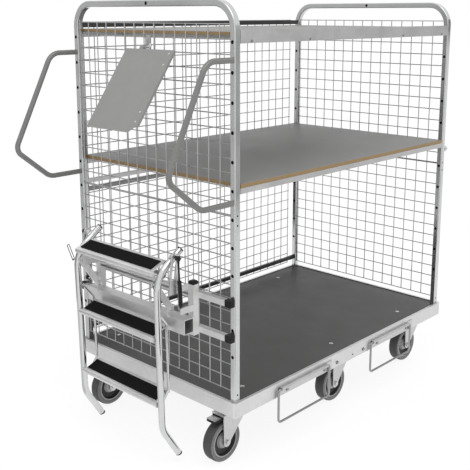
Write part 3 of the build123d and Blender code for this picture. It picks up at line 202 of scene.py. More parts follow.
# Cards close by, seen only in reflections, where dark_inside paints the reflection of the cart's shaded
# inside: name, middle, the way they face, width, height, shade
CLOSE_CARDS = (
    ("dark_inside", (-0.45, 1.4, 0.475), (0.0, -1.0, 0.0), 1.3, 0.75, 0.03),
    ("far_post", (-1.3, 0.72, 0.975), (1.0, 0.0, 0.0), 0.42, 1.35, 0.30),
)
# Camera: width of its sensor in millimetres, and how far it sees in metres
SENSOR_WIDTH = 36.0
SIGHT = 200.0


# Settings

def colour(label, words, default):
    """A colour setting."""
    return FloatVectorProperty(name=label, description=words, default=default, subtype="COLOR", size=3,
                               min=0.0, max=1.0)


def length(label, words, default):
    """A size setting in metres."""
    return FloatProperty(name=label, description=words, default=default, min=0.0, unit="LENGTH", precision=4)


def lean(label, words, degrees):
    """An angle setting, given in degrees."""
    return FloatProperty(name=label, description=words, default=radians(degrees), subtype="ANGLE")


def number(label, words, default, least):
    """A count setting with its least value."""
    return IntProperty(name=label, description=words, default=default, min=least)


class CartFinishes(PropertyGroup):
    """Colours of the cart's surfaces."""
    zinc: colour("Bright zinc", "Plated hoops, push bar, axles, pins and rivets", (0.60, 0.605, 0.61))
    satin: colour("Satin zinc", "Plated sheet of the shelf frames, casters and strips", (0.60, 0.60, 0.60))
    # The base zinc colour is painted light, a lighter copy of the satin zinc
    base: colour("Base zinc", "Plated sheet of the base", (0.70, 0.70, 0.70))
    # The light zinc colour is painted light, a lighter copy of the satin zinc
    light: colour("Light zinc", "Plated sheet of the ladder's steps, arms and bracket", (0.79, 0.79, 0.785))
    wire: colour("Panel wire", "Plated wire of the mesh panels", (0.50, 0.50, 0.50))
    dull: colour("Dull zinc", "Greyed plating of the frame bolts and side loops", (0.33, 0.33, 0.33))
    deck: colour("Deck film", "Dark film on the deck board", (0.062, 0.062, 0.060))
    chrome: colour("Polished tube", "Bright tube of the ladder's stringers and rods", (0.64, 0.645, 0.65))
    # The dark rail colour is a painted reflection: plated back rails drawn dark for the dark they reflect
    rail: colour("Dark rail", "Painted dark reflection of the upper and lower back rail", (0.045, 0.045, 0.045))
    shelf: colour("Shelf laminate", "Grey face of the shelf boards", (0.25, 0.25, 0.245))
    ply: colour("Ply edge", "Bare edge of the shelf boards", (0.285, 0.19, 0.088))
    handle: colour("Handle coat", "Grey coat of the pull handles", (0.18, 0.18, 0.177))
    board: colour("Writing board", "Satin sheet of the writing board", (0.265, 0.265, 0.26))
    # The black colour also paints the shade in the wheels' recesses
    black: colour("Black", "Clamps, caps, plugs, pedals, gas springs and recesses", (0.014, 0.014, 0.014))
    # The step grip colour also paints the shade inside the hoop tubes
    tread: colour("Step grip", "Grit strip on the steps, and the dark in the hoops", (0.0085, 0.0085, 0.0085))
    tyre: colour("Tyre tread", "Grey rubber of the running face", (0.065, 0.065, 0.065))
    tyre_side: colour("Tyre side", "Lighter side of the tyre", (0.17, 0.17, 0.17))
    wheel: colour("Wheel core", "Moulded core of the wheels", (0.33, 0.33, 0.33))


class CartSizes(PropertyGroup):
    """Sizes of the pieces that are dressed here."""
    wire: length("Wire", "Diameter of the panel wires", 0.0042)
    cross_rod: length("Cross rod", "Diameter of the stout rod across each end", 0.008)
    cross_height: length("Cross rod height", "Height of the stout rod across each end", 0.955)
    end_columns: number("End columns", "Cells across an end panel", 15, 1)
    back_columns: number("Back columns", "Cells along the back panel", 24, 1)
    rows: number("Rows", "Cells up every panel", 26, 2)
    dome: length("Dome head", "Diameter of a deck bolt's head", 0.017)
    dome_rise: length("Dome rise", "Height of a deck bolt's head over the deck", 0.0016)
    edge: length("Board edge", "Rounding of the edges of the boards, caps and tie bar", 0.0012)
    tube_wall: length("Hoop wall", "Wall of the hoop tube", 0.002)
    tube_depth: length("Hoop tube depth", "Depth of the hoop tube across the bend", 0.024)
    hoop_bend: length("Hoop bend", "Bend radius of the hoop's middle line", 0.088)
    rivet: length("Board rivet", "Diameter of the small rivets on the writing board", 0.008)
    rivet_inset: length("Rivet inset", "Distance of the rivets from the board's side", 0.019)
    board_tilt: lean("Board tilt", "Lean of the writing board from upright", 35.5)
    cap_rise: length("Cap rise", "Height of the rim of a cap on a bracket upright", 0.010)
    cap_crown: length("Cap crown", "Rise of the raised middle of such a cap", 0.003)
    tie_height: length("Tie bar height", "Height of the bar between the bracket uprights", 0.024)
    tie_drop: length("Tie bar drop", "Depth of that bar below the tops of the uprights", 0.026)
    tie_lip: length("Tie bar lip", "Height of each lip beside the groove of that bar", 0.0075)
    tie_wall: length("Tie bar wall", "Wall behind the groove of that bar", 0.004)
    lever_wire: length("Lever wire", "Diameter of the bent wire of the release lever", 0.0028)


class CartStage(PropertyGroup):
    """Camera and light."""
    camera: FloatVectorProperty(name="Camera", description="Place of the camera", subtype="XYZ",
                                unit="LENGTH", default=(-2.5566, -2.2724, 1.6381))
    yaw: lean("Yaw", "Heading of the view from +X", 43.169)
    pitch: lean("Pitch", "Dip of the view", -11.47)
    lens: FloatProperty(name="Lens", description="Focal length", default=62.5, min=1.0,
                        subtype="DISTANCE_CAMERA")
    shift: FloatProperty(name="Shift", description="Vertical lens shift", default=-0.12)
    key: FloatProperty(name="Key light", description="Power of the large overhead light", default=45.0,
                       subtype="POWER")
    sky: FloatProperty(name="Sky", description="Strength of the even light from all round", default=0.85,
                       min=0.0)
    floor: FloatProperty(name="Floor glow", description="Own light of the pale floor", default=0.88, min=0.0)


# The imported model

def box_of(node):
    """Low and high corner of a node as vectors."""
    low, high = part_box(node)
    return Vector(low), Vector(high)


def corners_of(node):
    """Corners of a node's mesh."""
    return [vert.co for vert in frame["nodes"][node].data.vertices]


def box_around(corners):
    """Low and high corner of the box around some corners."""
    return [Vector([pick(corner[i] for corner in corners) for i in range(3)]) for pick in (min, max)]


def solid_boxes(node):
    """Low and high corner of each separate solid of a node."""
    shape = bmesh.new()
    shape.from_mesh(frame["nodes"][node].data)
    bmesh.ops.remove_doubles(shape, verts=shape.verts, dist=ONE_CORNER)
    left = set(shape.verts)
    boxes = []
    while left:
        island = {left.pop()}
        border = list(island)
        while border:
            vert = border.pop()
            for link in vert.link_edges:
                other = link.other_vert(vert)
                if other in left:
                    left.discard(other)
                    island.add(other)
                    border.append(other)
        boxes.append(box_around([vert.co for vert in island]))
    shape.free()
    return sorted(boxes, key=lambda pair: tuple(round(value, DIGITS) for value in pair[0]))


def pivot_of(name):
    """Place of a joint."""
    joints = frame["record"]["behaviour"]["joints"]
    return Vector(next(joint["pos_m"] for joint in joints if joint["name"] == name))


def upright_tops():
    """Low and high corner of the upper end of the front and the back upright of the ladder bracket."""
    corners = corners_of("ladder_bracket")
    top = max(corner.z for corner in corners)
    crown = [corner for corner in corners if corner.z > top - ON_FACE]
    middle = sum(corner.y for corner in crown) / len(crown)
    return (box_around([corner for corner in crown if corner.y < middle]),
            box_around([corner for corner in crown if corner.y > middle]))


# Mesh helpers

def new_object(name, data):
    """Links a new object at the origin."""
    thing = bpy.data.objects.new(name, data)
    bpy.context.scene.collection.objects.link(thing)
    return thing


def settle(mesh, body, slot, *nodes):
    """Makes a mesh a piece on its body and hides the nodes it stands for; the slot it is given is not used.
    """
    piece = new_object(mesh.name, mesh)
    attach(piece, body)
    if nodes:
        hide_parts(*nodes)


def smooth(mesh, angle=32.0):
    """Shades a mesh smooth except over sharp edges."""
    mesh.shade_smooth()
    mesh.set_sharp_from_angle(angle=radians(angle))


def mesh_from(name, build, *finishes):
    """Makes a mesh with a function that fills a bmesh."""
    shape = bmesh.new()
    build(shape)
    bmesh.ops.recalc_face_normals(shape, faces=shape.faces)
    mesh = bpy.data.meshes.new(name)
    shape.to_mesh(mesh)
    shape.free()
    for finish in finishes:
        mesh.materials.append(FINISH[finish])
    return mesh


def circle(shape, centre, aside, across, radius, segments):
    """Adds the corners of a circle to a shape."""
    turns = [2 * pi * step / segments for step in range(segments)]
    return [shape.verts.new(centre + radius * (cos(turn) * aside + sin(turn) * across)) for turn in turns]


def bridge(shape, ring, following):
    """Adds the band of faces between two rings of corners."""
    next_steps = [*range(1, len(ring)), 0]
    return [shape.faces.new((ring[step], ring[after], following[after], following[step]))
            for step, after in enumerate(next_steps)]


def bridge_all(shape, rings):
    """Adds the bands between rings of corners and closes both ends."""
    for ring, following in zip(rings, rings[1:]):
        bridge(shape, ring, following)
    shape.faces.new(reversed(rings[0]))
    shape.faces.new(rings[-1])


def lathe(shape, profile, centre, segments=96):
    """Turns a closed profile of (radius, side, finish) points about a line along Y through the centre."""
    rings = [circle(shape, centre + side * AXIS_Y, AXIS_X, AXIS_Z, radius, segments)
             for radius, side, _ in profile]
    for index, (_, _, finish) in enumerate(profile):
        for face in bridge(shape, rings[index], rings[(index + 1) % len(rings)]):
            face.material_index = finish


def both_sides(half, middle=()):
    """A closed profile from its half on one side; a point's finish is the one of the band after it."""
    whole = [*half, *middle, *((radius, -side, finish) for radius, side, finish in reversed(half))]
    return [(radius, side, whole[(index + 1) % len(whole)][2] if side < 0 else finish)
            for index, (radius, side, finish) in enumerate(whole)]


def turned(shape, start, axis, profile, segments=24):
    """Turns an open profile of (radius, along) points about an axis from a start and closes both ends."""
    aside = axis.orthogonal().normalized()
    across = axis.cross(aside)
    bridge_all(shape, [circle(shape, start + along * axis, aside, across, radius, segments)
                       for radius, along in profile])


def sweep_box(shape, route, half_x, half_across):
    """Sweeps a closed rectangular section along a route of (place, sideways) pairs in a plane across X."""
    signs = ((-1, -1), (1, -1), (1, 1), (-1, 1))
    bridge_all(shape, [[shape.verts.new(place + a * half_x * AXIS_X + b * half_across * sideways)
                        for a, b in signs] for place, sideways in route])


def board_mesh(name, low, high, edge, face_finish, edge_finish, crown=0.0):
    """A board with rounded edges, its faces and its cut edges in two finishes; a crown raises its middle."""
    def build(shape):
        bmesh.ops.create_cube(shape, size=1.0)
        middle = (low + high) / 2
        size = high - low
        for vert in shape.verts:
            vert.co = Vector([middle[i] + vert.co[i] * size[i] for i in range(3)])
        bmesh.ops.bevel(shape, geom=list(shape.edges), offset=edge, segments=3, profile=0.5, affect="EDGES")
        if crown:
            top = max(shape.faces, key=lambda face: face.calc_center_median().z)
            bmesh.ops.inset_individual(shape, faces=[top], thickness=crown, depth=crown)
        for face in shape.faces:
            face.normal_update()
            face.material_index = 0 if abs(face.normal.z) > FACE_NORMAL else 1

    mesh = mesh_from(name, build, face_finish, edge_finish)
    smooth(mesh, angle=50.0)
    return mesh


def add_rod(mesh, start, end, radius):
    """Adds a round rod between two points to a mesh."""
    shape = bmesh.new()
    shape.from_mesh(mesh)
    turn = (end - start).to_track_quat("Z", "Y").to_matrix().to_4x4()
    bmesh.ops.create_cone(shape, cap_ends=True, segments=20, radius1=radius, radius2=radius,
                          depth=(end - start).length, matrix=Matrix.Translation((start + end) / 2) @ turn)
    shape.to_mesh(mesh)
    shape.free()


# Node helpers

def new_tree(name, kind, inputs, outputs):
    """A node tree with named sockets, its input sockets to read from and its output sockets to feed."""
    tree = bpy.data.node_groups.new(name, kind)
    for way, sockets in (("INPUT", inputs), ("OUTPUT", outputs)):
        for label, socket_kind, *default in sockets:
            socket = tree.interface.new_socket(label, in_out=way, socket_type="NodeSocket" + socket_kind)
            if default:
                socket.default_value = default[0]
    return tree, tree.nodes.new("NodeGroupInput").outputs, tree.nodes.new("NodeGroupOutput").inputs


def add(tree, kind, links=None, **settings):
    """Adds a node, sets its options and feeds its inputs from sockets or plain values."""
    node = tree.nodes.new(kind)
    for key, value in settings.items():
        setattr(node, key, value)
    for key, value in (links or {}).items():
        socket = node.inputs[key]
        if isinstance(value, bpy.types.NodeSocket):
            tree.links.new(value, socket)
        else:
            socket.default_value = value
    return node


def maths(tree, operation, *values):
    """A maths node's value."""
    return add(tree, "ShaderNodeMath", dict(enumerate(values)), operation=operation).outputs[0]


def scaled(tree, value, factor):
    """A value times a factor."""
    return maths(tree, "MULTIPLY", value, factor)


def vector(tree, x, y, z):
    """A vector built from three values."""
    return add(tree, "ShaderNodeCombineXYZ", {"X": x, "Y": y, "Z": z}).outputs[0]


def blend(tree, amount, first, second):
    """A colour between two others."""
    return add(tree, "ShaderNodeMix", {0: amount, 6: first, 7: second}, data_type="RGBA").outputs[2]


# Geometry trees

def geometry_tree(name, *inputs):
    """A geometry tree with named inputs and a finish."""
    geometry = ("Geometry", "Geometry")
    return new_tree(name, "GeometryNodeTree", (geometry, *inputs, ("Finish", "Material")), (geometry,))


def join(tree, parts):
    """Several geometries as one."""
    joined = add(tree, "GeometryNodeJoinGeometry")
    for part in parts:
        tree.links.new(part, joined.inputs[0])
    return joined.outputs[0]


def lifted(tree, part, height):
    """A part's geometry raised by a height."""
    raised = add(tree, "GeometryNodeTransform", {
        "Geometry": part.outputs[0], "Translation": vector(tree, 0.0, 0.0, height)})
    return raised.outputs[0]


def close_tree(tree, out, parts, finish):
    """Joins the parts, makes them real, gives them their finish and returns the whole tree."""
    real = add(tree, "GeometryNodeRealizeInstances", {0: join(tree, parts)})
    painted = add(tree, "GeometryNodeSetMaterial", {"Geometry": real.outputs[0], "Material": finish})
    tree.links.new(painted.outputs[0], out[0])
    return tree


def grow(name, tree, finish, values, points=((0.0, 0.0, 0.0),), edges=()):
    """Runs a tree on a few seed points and edges and returns the plain mesh that it makes."""
    values = {**values, "Finish": FINISH[finish]}
    seed = bpy.data.meshes.new(name + "_seed")
    seed.from_pydata([tuple(point) for point in points], edges, [])
    holder = new_object(name + "_seed", seed)
    modifier = holder.modifiers.new("Grow", "NODES")
    modifier.node_group = tree
    for item in tree.interface.items_tree:
        if item.item_type == "SOCKET" and item.in_out == "INPUT" and item.name in values:
            modifier[item.identifier] = values[item.name]
    bpy.context.view_layer.update()
    graph = bpy.context.evaluated_depsgraph_get()
    mesh = bpy.data.meshes.new_from_object(holder.evaluated_get(graph))
    mesh.name = name
    mesh.materials.clear()
    mesh.materials.append(FINISH[finish])
    mesh.polygons.foreach_set("material_index", [0] * len(mesh.polygons))
    holder.modifiers.clear()
    bpy.data.objects.remove(holder)
    bpy.data.meshes.remove(seed)
    return mesh


def wire_tree():
    """Upright and level round wires of one flat panel, standing in the XZ plane."""
    tree, put, out = geometry_tree(
        "Wire panel", ("Width", "Float", 0.8), ("Height", "Float", 1.3), ("Columns", "Int", 15),
        ("Rows", "Int", 26), ("Wire", "Float", 0.004))
    radius = scaled(tree, put["Wire"], 0.5)
    parts = []
    layers = (("Columns", "Width", "Height", True), ("Rows", "Height", "Width", False))
    for count, span, run, upright in layers:
        first = scaled(tree, put[span], -0.5)
        pitch = maths(tree, "DIVIDE", put[span], put[count])
        layer = scaled(tree, put["Wire"], WIRE_LAYER if upright else -WIRE_LAYER)
        start = vector(tree, first, layer, 0.0) if upright else vector(tree, 0.0, layer, first)
        step = vector(tree, pitch, 0.0, 0.0) if upright else vector(tree, 0.0, 0.0, pitch)
        line = add(tree, "GeometryNodeMeshLine", {
            "Count": maths(tree, "ADD", put[count], 1.0), "Start Location": start, "Offset": step})
        rod = add(tree, "GeometryNodeMeshCylinder", {"Vertices": 10, "Radius": radius, "Depth": put[run]})
        turn = (0.0, 0.0, 0.0) if upright else (0.0, pi / 2, 0.0)
        wires = add(tree, "GeometryNodeInstanceOnPoints", {
            "Points": line.outputs[0], "Instance": rod.outputs[0], "Rotation": turn})
        parts.append(wires.outputs[0])
    return close_tree(tree, out, parts, put["Finish"])


def bolt_tree():
    """Hexagon heads on washers at the seed points, standing up along Z before they are turned."""
    tree, put, out = geometry_tree(
        "Hexagon bolts", ("Head", "Float", 0.013), ("Rise", "Float", 0.005), ("Turn", "Vector"))
    radius = scaled(tree, put["Head"], 0.5)
    washer_rise = scaled(tree, put["Rise"], WASHER_RISE)
    body_rise = scaled(tree, put["Rise"], BODY_RISE)
    washer = add(tree, "GeometryNodeMeshCylinder", {
        "Vertices": 24, "Radius": scaled(tree, radius, WASHER_REACH), "Depth": washer_rise})
    body = add(tree, "GeometryNodeMeshCylinder", {"Vertices": 6, "Radius": radius, "Depth": body_rise})
    crown = add(tree, "GeometryNodeMeshCone", {
        "Vertices": 6, "Radius Top": scaled(tree, radius, CROWN_REACH), "Radius Bottom": radius,
        "Depth": scaled(tree, put["Rise"], CROWN_RISE)})
    whole = join(tree, (
        lifted(tree, washer, scaled(tree, washer_rise, 0.5)),
        lifted(tree, body, maths(tree, "ADD", washer_rise, scaled(tree, body_rise, 0.5))),
        lifted(tree, crown, maths(tree, "ADD", washer_rise, body_rise))))
    turn = add(tree, "FunctionNodeEulerToRotation", {0: put["Turn"]})
    bolts = add(tree, "GeometryNodeInstanceOnPoints", {
        "Points": put["Geometry"], "Instance": whole, "Rotation": turn.outputs[0]})
    return close_tree(tree, out, (bolts.outputs[0],), put["Finish"])


def dome_tree():
    """Low domed heads on flanges at the seed points."""
    tree, put, out = geometry_tree("Domed bolts", ("Head", "Float", 0.017), ("Rise", "Float", 0.004))
    radius = scaled(tree, put["Head"], 0.5)
    inner = scaled(tree, radius, DOME_REACH)
    flange_rise = scaled(tree, put["Rise"], FLANGE_RISE)
    ball = add(tree, "GeometryNodeMeshUVSphere", {"Segments": 28, "Rings": 14, "Radius": 1.0})
    dome = add(tree, "GeometryNodeTransform", {
        "Geometry": ball.outputs[0], "Scale": vector(tree, inner, inner, put["Rise"])})
    flange = add(tree, "GeometryNodeMeshCylinder", {"Vertices": 28, "Radius": radius, "Depth": flange_rise})
    whole = join(tree, (dome.outputs[0], lifted(tree, flange, scaled(tree, flange_rise, 0.5))))
    heads = add(tree, "GeometryNodeInstanceOnPoints", {"Points": put["Geometry"], "Instance": whole})
    return close_tree(tree, out, (heads.outputs[0],), put["Finish"])


def loop_tree():
    """Round wire along the edges of the seed."""
    tree, put, out = geometry_tree("Wire loop", ("Wire", "Float", 0.003))
    line = add(tree, "GeometryNodeMeshToCurve", {"Mesh": put["Geometry"]})
    section = add(tree, "GeometryNodeCurvePrimitiveCircle", {
        "Resolution": 12, "Radius": scaled(tree, put["Wire"], 0.5)})
    wire = add(tree, "GeometryNodeCurveToMesh", {
        "Curve": line.outputs[0], "Profile Curve": section.outputs[0]})
    return close_tree(tree, out, (wire.outputs[0],), put["Finish"])


# Shader groups

def shader_group(name, inputs, outputs):
    """A shader group that reads a place and more named inputs."""
    return new_tree(name, "ShaderNodeTree", (("Vector", "Vector"), *inputs), outputs)


def mottle_group():
    """Patchy colour and roughness with a fine grain for the bump."""
    group, put, out = shader_group("Mottle", (
        ("Scale", "Float", 20.0), ("Light", "Color", (0.8, 0.8, 0.8, 1.0)),
        ("Dark", "Color", (0.6, 0.6, 0.6, 1.0)), ("Smooth", "Float", 0.2), ("Rough", "Float", 0.4),
        ("Grain", "Float", 400.0)),
        (("Colour", "Color"), ("Roughness", "Float"), ("Height", "Float")))
    patches = add(group, "ShaderNodeTexNoise", {
        "Vector": put["Vector"], "Scale": put["Scale"], "Detail": 5.0, "Roughness": 0.6})
    spread = add(group, "ShaderNodeMapRange", {
        "Value": patches.outputs[0], "From Min": 0.32, "From Max": 0.68}).outputs[0]
    grain = add(group, "ShaderNodeTexNoise", {
        "Vector": put["Vector"], "Scale": put["Grain"], "Detail": 2.0, "Roughness": 0.5}).outputs[0]
    gloss = add(group, "ShaderNodeMapRange", {
        "Value": maths(group, "MULTIPLY", spread, grain), "From Min": 0.0, "From Max": 0.6,
        "To Min": put["Smooth"], "To Max": put["Rough"]})
    group.links.new(blend(group, spread, put["Dark"], put["Light"]), out["Colour"])
    group.links.new(gloss.outputs[0], out["Roughness"])
    group.links.new(grain, out["Height"])
    return group


def spangle_group():
    """Faint crystal flakes of plated steel."""
    group, put, out = shader_group("Spangle", (
        ("Scale", "Float", 90.0), ("Colour", "Color", (0.8, 0.8, 0.8, 1.0)), ("Depth", "Float", 0.12)),
        (("Colour", "Color"),))
    cells = add(group, "ShaderNodeTexVoronoi", {"Vector": put["Vector"], "Scale": put["Scale"]})
    grey = add(group, "ShaderNodeSeparateColor", {0: cells.outputs["Color"]}).outputs[0]
    amount = maths(group, "MULTIPLY", grey, put["Depth"])
    group.links.new(blend(group, amount, put["Colour"], FLAKE_SHADE), out["Colour"])
    return group


def ply_group():
    """Thin wood layers stacked upwards with a long grain."""
    group, put, out = shader_group("Ply layers", (
        ("Layers", "Float", 420.0), ("Light", "Color", (0.6, 0.4, 0.2, 1.0)),
        ("Dark", "Color", (0.3, 0.17, 0.07, 1.0))),
        (("Colour", "Color"), ("Height", "Float")))
    height = add(group, "ShaderNodeSeparateXYZ", {0: put["Vector"]}).outputs["Z"]
    layer = maths(group, "FRACT", maths(group, "MULTIPLY", height, put["Layers"]))
    band = add(group, "ShaderNodeMapRange", {"Value": layer, "From Min": 0.35, "From Max": 0.65})
    fibre = add(group, "ShaderNodeTexNoise", {
        "Vector": put["Vector"], "Scale": 160.0, "Detail": 4.0}).outputs[0]
    amount = maths(group, "MULTIPLY", band.outputs[0], fibre)
    group.links.new(blend(group, amount, put["Light"], put["Dark"]), out["Colour"])
    group.links.new(fibre, out["Height"])
    return group


# Finishes

FINISH = {}


def shade_of(value, factor):
    """A colour with its brightness scaled, with alpha."""
    return (*(min(1.0, part * factor) for part in value), 1.0)


def start_material(name):
    """A material, its tree and the inputs of its shader."""
    finish = bpy.data.materials.new(name)
    finish.use_nodes = True
    return finish, finish.node_tree, finish.node_tree.nodes["Principled BSDF"].inputs


def start_finish(name):
    """A material, its tree, the inputs of its shader and its object coordinates."""
    finish, tree, shader = start_material(name)
    return finish, tree, shader, add(tree, "ShaderNodeTexCoord").outputs["Object"]


def matt(name, shade):
    """A plain matt grey for the stage, and the inputs of its shader."""
    finish, _, shader = start_material(name)
    shader["Base Color"].default_value = (shade, shade, shade, 1.0)
    shader["Roughness"].default_value = 1.0
    return finish, shader


def bump(tree, shader, height, strength):
    """Feeds a height into the shader's normal."""
    relief = add(tree, "ShaderNodeBump", {"Strength": strength, "Distance": RELIEF_DEPTH, "Height": height})
    tree.links.new(relief.outputs[0], shader["Normal"])


def mottled(name, groups, base, spread, gloss, scale, grain, relief, shine=0.5, metallic=0.0):
    """A finish whose colour and gloss vary, its tree, the inputs of its shader, its place and its colour."""
    finish, tree, shader, place = start_finish(name)
    mottle = add(tree, "ShaderNodeGroup", {
        "Vector": place, "Scale": scale, "Grain": grain, "Light": shade_of(base, 1 + spread),
        "Dark": shade_of(base, 1 - spread), "Smooth": gloss[0], "Rough": gloss[1]},
        node_tree=groups["mottle"]).outputs
    tree.links.new(mottle["Colour"], shader["Base Color"])
    tree.links.new(mottle["Roughness"], shader["Roughness"])
    bump(tree, shader, mottle["Height"], relief)
    shader["Metallic"].default_value = metallic
    shader["Specular IOR Level"].default_value = shine
    return finish, tree, shader, place, mottle["Colour"]


def plated(name, groups, base, gloss, flake, relief):
    """Bright plated steel with faint flakes and uneven gloss."""
    finish, tree, shader, place, tint = mottled(
        name, groups, base, spread=0.06, gloss=gloss, scale=9.0, grain=700.0, relief=relief, metallic=1.0)
    spangle = add(tree, "ShaderNodeGroup", {"Vector": place, "Colour": tint, "Depth": flake},
                  node_tree=groups["spangle"])
    tree.links.new(spangle.outputs["Colour"], shader["Base Color"])
    return finish


def rail_painted_reflection(name, groups, dark, bright):
    """Painted dark reflection on the plated upper and lower rail, plating on the pair half-way up, with
    painted shade darkening the lower of them.
    """
    finish, tree, shader, place, tint = mottled(
        name, groups, dark, spread=0.08, gloss=(0.35, 0.45), scale=12.0, grain=800.0, relief=0.02, shine=0.3)
    height = add(tree, "ShaderNodeSeparateXYZ", {0: place}).outputs["Z"]
    middle = maths(tree, "COMPARE", height, PAIR_HEIGHT, PAIR_REACH)
    over = maths(tree, "GREATER_THAN", height, PAIR_HEIGHT)
    # Painted shade: the lower rail of the pair gets a darkened copy of the plating
    pair = blend(tree, over, shade_of(bright, PAIR_PAINTED_SHADE), shade_of(bright, 1.0))
    tree.links.new(blend(tree, middle, tint, pair), shader["Base Color"])
    tree.links.new(middle, shader["Metallic"])
    return finish


def ply_edge(name, groups, base):
    """Cut ply edge."""
    finish, tree, shader, place = start_finish(name)
    ply = add(tree, "ShaderNodeGroup", {
        "Vector": place, "Light": shade_of(base, PLY_LIGHT), "Dark": shade_of(base, PLY_DARK)},
        node_tree=groups["ply"])
    tree.links.new(ply.outputs["Colour"], shader["Base Color"])
    shader["Roughness"].default_value = PLY_ROUGHNESS
    bump(tree, shader, ply.outputs["Height"], PLY_RELIEF)
    return finish


def make_finishes(values):
    """Builds the shared groups and every finish once."""
    groups = {"mottle": mottle_group(), "spangle": spangle_group(), "ply": ply_group()}
    for slot, label, setting, *looks in PLATED:
        FINISH[slot] = plated(label, groups, getattr(values, setting), *looks)
    for slot, label, setting, *looks in COATED:
        FINISH[slot] = mottled(label, groups, getattr(values, setting), *looks)[0]
    FINISH["rail"] = rail_painted_reflection("Back rail coat", groups, values.rail, values.satin)
    FINISH["ply_edge"] = ply_edge("Ply edge", groups, values.ply)


# Operators

class CART_OT_finishes(Operator):
    """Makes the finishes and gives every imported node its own."""
    bl_idname = "cart.finishes"
    bl_label = "Finishes"

    def execute(self, context):
        make_finishes(context.scene.cart_finishes)
        finish_of = {entry["node"]: entry["material_slot"] for entry in frame["record"]["subparts"]}
        finish_of.update({node: finish for finish, nodes in OWN_FINISH.items() for node in nodes})
        for node, piece in frame["nodes"].items():
            piece.data.materials.clear()
            piece.data.materials.append(FINISH[finish_of[node]])
        return {"FINISHED"}


class CART_OT_wire_panels(Operator):
    """Replaces the holed plates of the ends and the back with round welded wires."""
    bl_idname = "cart.wire_panels"
    bl_label = "Wire panels"

    def execute(self, context):
        sizes = context.scene.cart_sizes
        tree = wire_tree()
        panels = (("near_end_mesh", sizes.end_columns, 1), ("far_end_mesh", sizes.end_columns, 1),
                  ("back_mesh", sizes.back_columns, 0))
        for node, columns, across in panels:
            low, high = box_of(node)
            middle = (low + high) / 2
            mesh = grow(node.replace("mesh", "wires"), tree, "wire", {
                "Width": high[across] - low[across] - sizes.wire, "Height": high.z - low.z - sizes.wire,
                "Columns": columns, "Rows": sizes.rows, "Wire": sizes.wire})
            turn = Matrix.Rotation(pi / 2, 4, "Z") if across else Matrix.Identity(4)
            mesh.transform(Matrix.Translation(middle) @ turn)
            if across:
                start, end = (Vector((middle.x, y, sizes.cross_height)) for y in (low.y, high.y))
                add_rod(mesh, start, end, sizes.cross_rod / 2)
            smooth(mesh, angle=60.0)
            settle(mesh, "cart", "zinc_steel", node)
        return {"FINISHED"}


class CART_OT_shade_linings(Operator):
    """Lines the hoop tubes with a near-black sheet of painted shade, so that their adjusting holes look into
    a dark tube.
    """
    bl_idname = "cart.linings"
    bl_label = "Tube linings"

    def execute(self, context):
        sizes = context.scene.cart_sizes
        half_tube = sizes.tube_depth / 2
        depth = SHADE_LINING_DEPTH * sizes.tube_wall
        bend = sizes.hoop_bend
        for end in ("near", "far"):
            low, high = box_of(end + "_end_hoop")
            middle_x = (low.x + high.x) / 2
            half_x = (high.x - low.x) / 2 - depth
            front, back = low.y + half_tube, high.y - half_tube
            foot, shoulder = low.z + half_tube, high.z - half_tube - bend
            route = [(Vector((middle_x, front, foot)), Vector((0.0, -1.0, 0.0)))]
            for centre_y, first in ((front + bend, pi), (back - bend, pi / 2)):
                centre = Vector((middle_x, centre_y, shoulder))
                for step in range(BEND_STEPS + 1):
                    turn = first - pi / 2 * step / BEND_STEPS
                    sideways = Vector((0.0, cos(turn), sin(turn)))
                    route.append((centre + bend * sideways, sideways))
            route.append((Vector((middle_x, back, foot)), AXIS_Y))
            # The sheet is painted shade for the inside of the tube
            mesh = mesh_from(end + "_hoop_lining",
                             lambda shape: sweep_box(shape, route, half_x, half_tube - depth), "lining")
            settle(mesh, "cart", "black_plastic")
        return {"FINISHED"}


class CART_OT_boards(Operator):
    """Replaces the plain shelf boards with rounded ones that show their cut edges."""
    bl_idname = "cart.boards"
    bl_label = "Boards"

    def execute(self, context):
        for node in ("mid_shelf_board", "top_shelf_board"):
            mesh = board_mesh(node + "_dressed", *box_of(node), context.scene.cart_sizes.edge,
                              "shelf_ply", "ply_edge")
            settle(mesh, "cart", "shelf_ply", node)
        return {"FINISHED"}


class CART_OT_rivets(Operator):
    """Sets small rivets along one side of the writing board."""
    bl_idname = "cart.rivets"
    bl_label = "Board rivets"

    def execute(self, context):
        sizes = context.scene.cart_sizes
        outward = Vector((-cos(sizes.board_tilt), 0.0, sin(sizes.board_tilt)))
        down = Vector((-sin(sizes.board_tilt), 0.0, -cos(sizes.board_tilt)))
        corners = corners_of("writing_board")
        level = max(outward.dot(corner) for corner in corners)
        plate = [corner for corner in corners if outward.dot(corner) > level - ON_FACE]
        top = min(down.dot(corner) for corner in plate)
        side = min(corner.y for corner in plate)
        points = [(side + sizes.rivet_inset, top + place, level) for place in RIVET_PLACES]
        mesh = grow("board_rivets", dome_tree(), "zinc_steel", {
            "Head": sizes.rivet, "Rise": RIVET_RISE * sizes.rivet}, points)
        mesh.transform(Matrix((AXIS_Y, down, outward)).transposed().to_4x4())
        smooth(mesh, angle=50.0)
        settle(mesh, "writing_board", "zinc_steel")
        return {"FINISHED"}


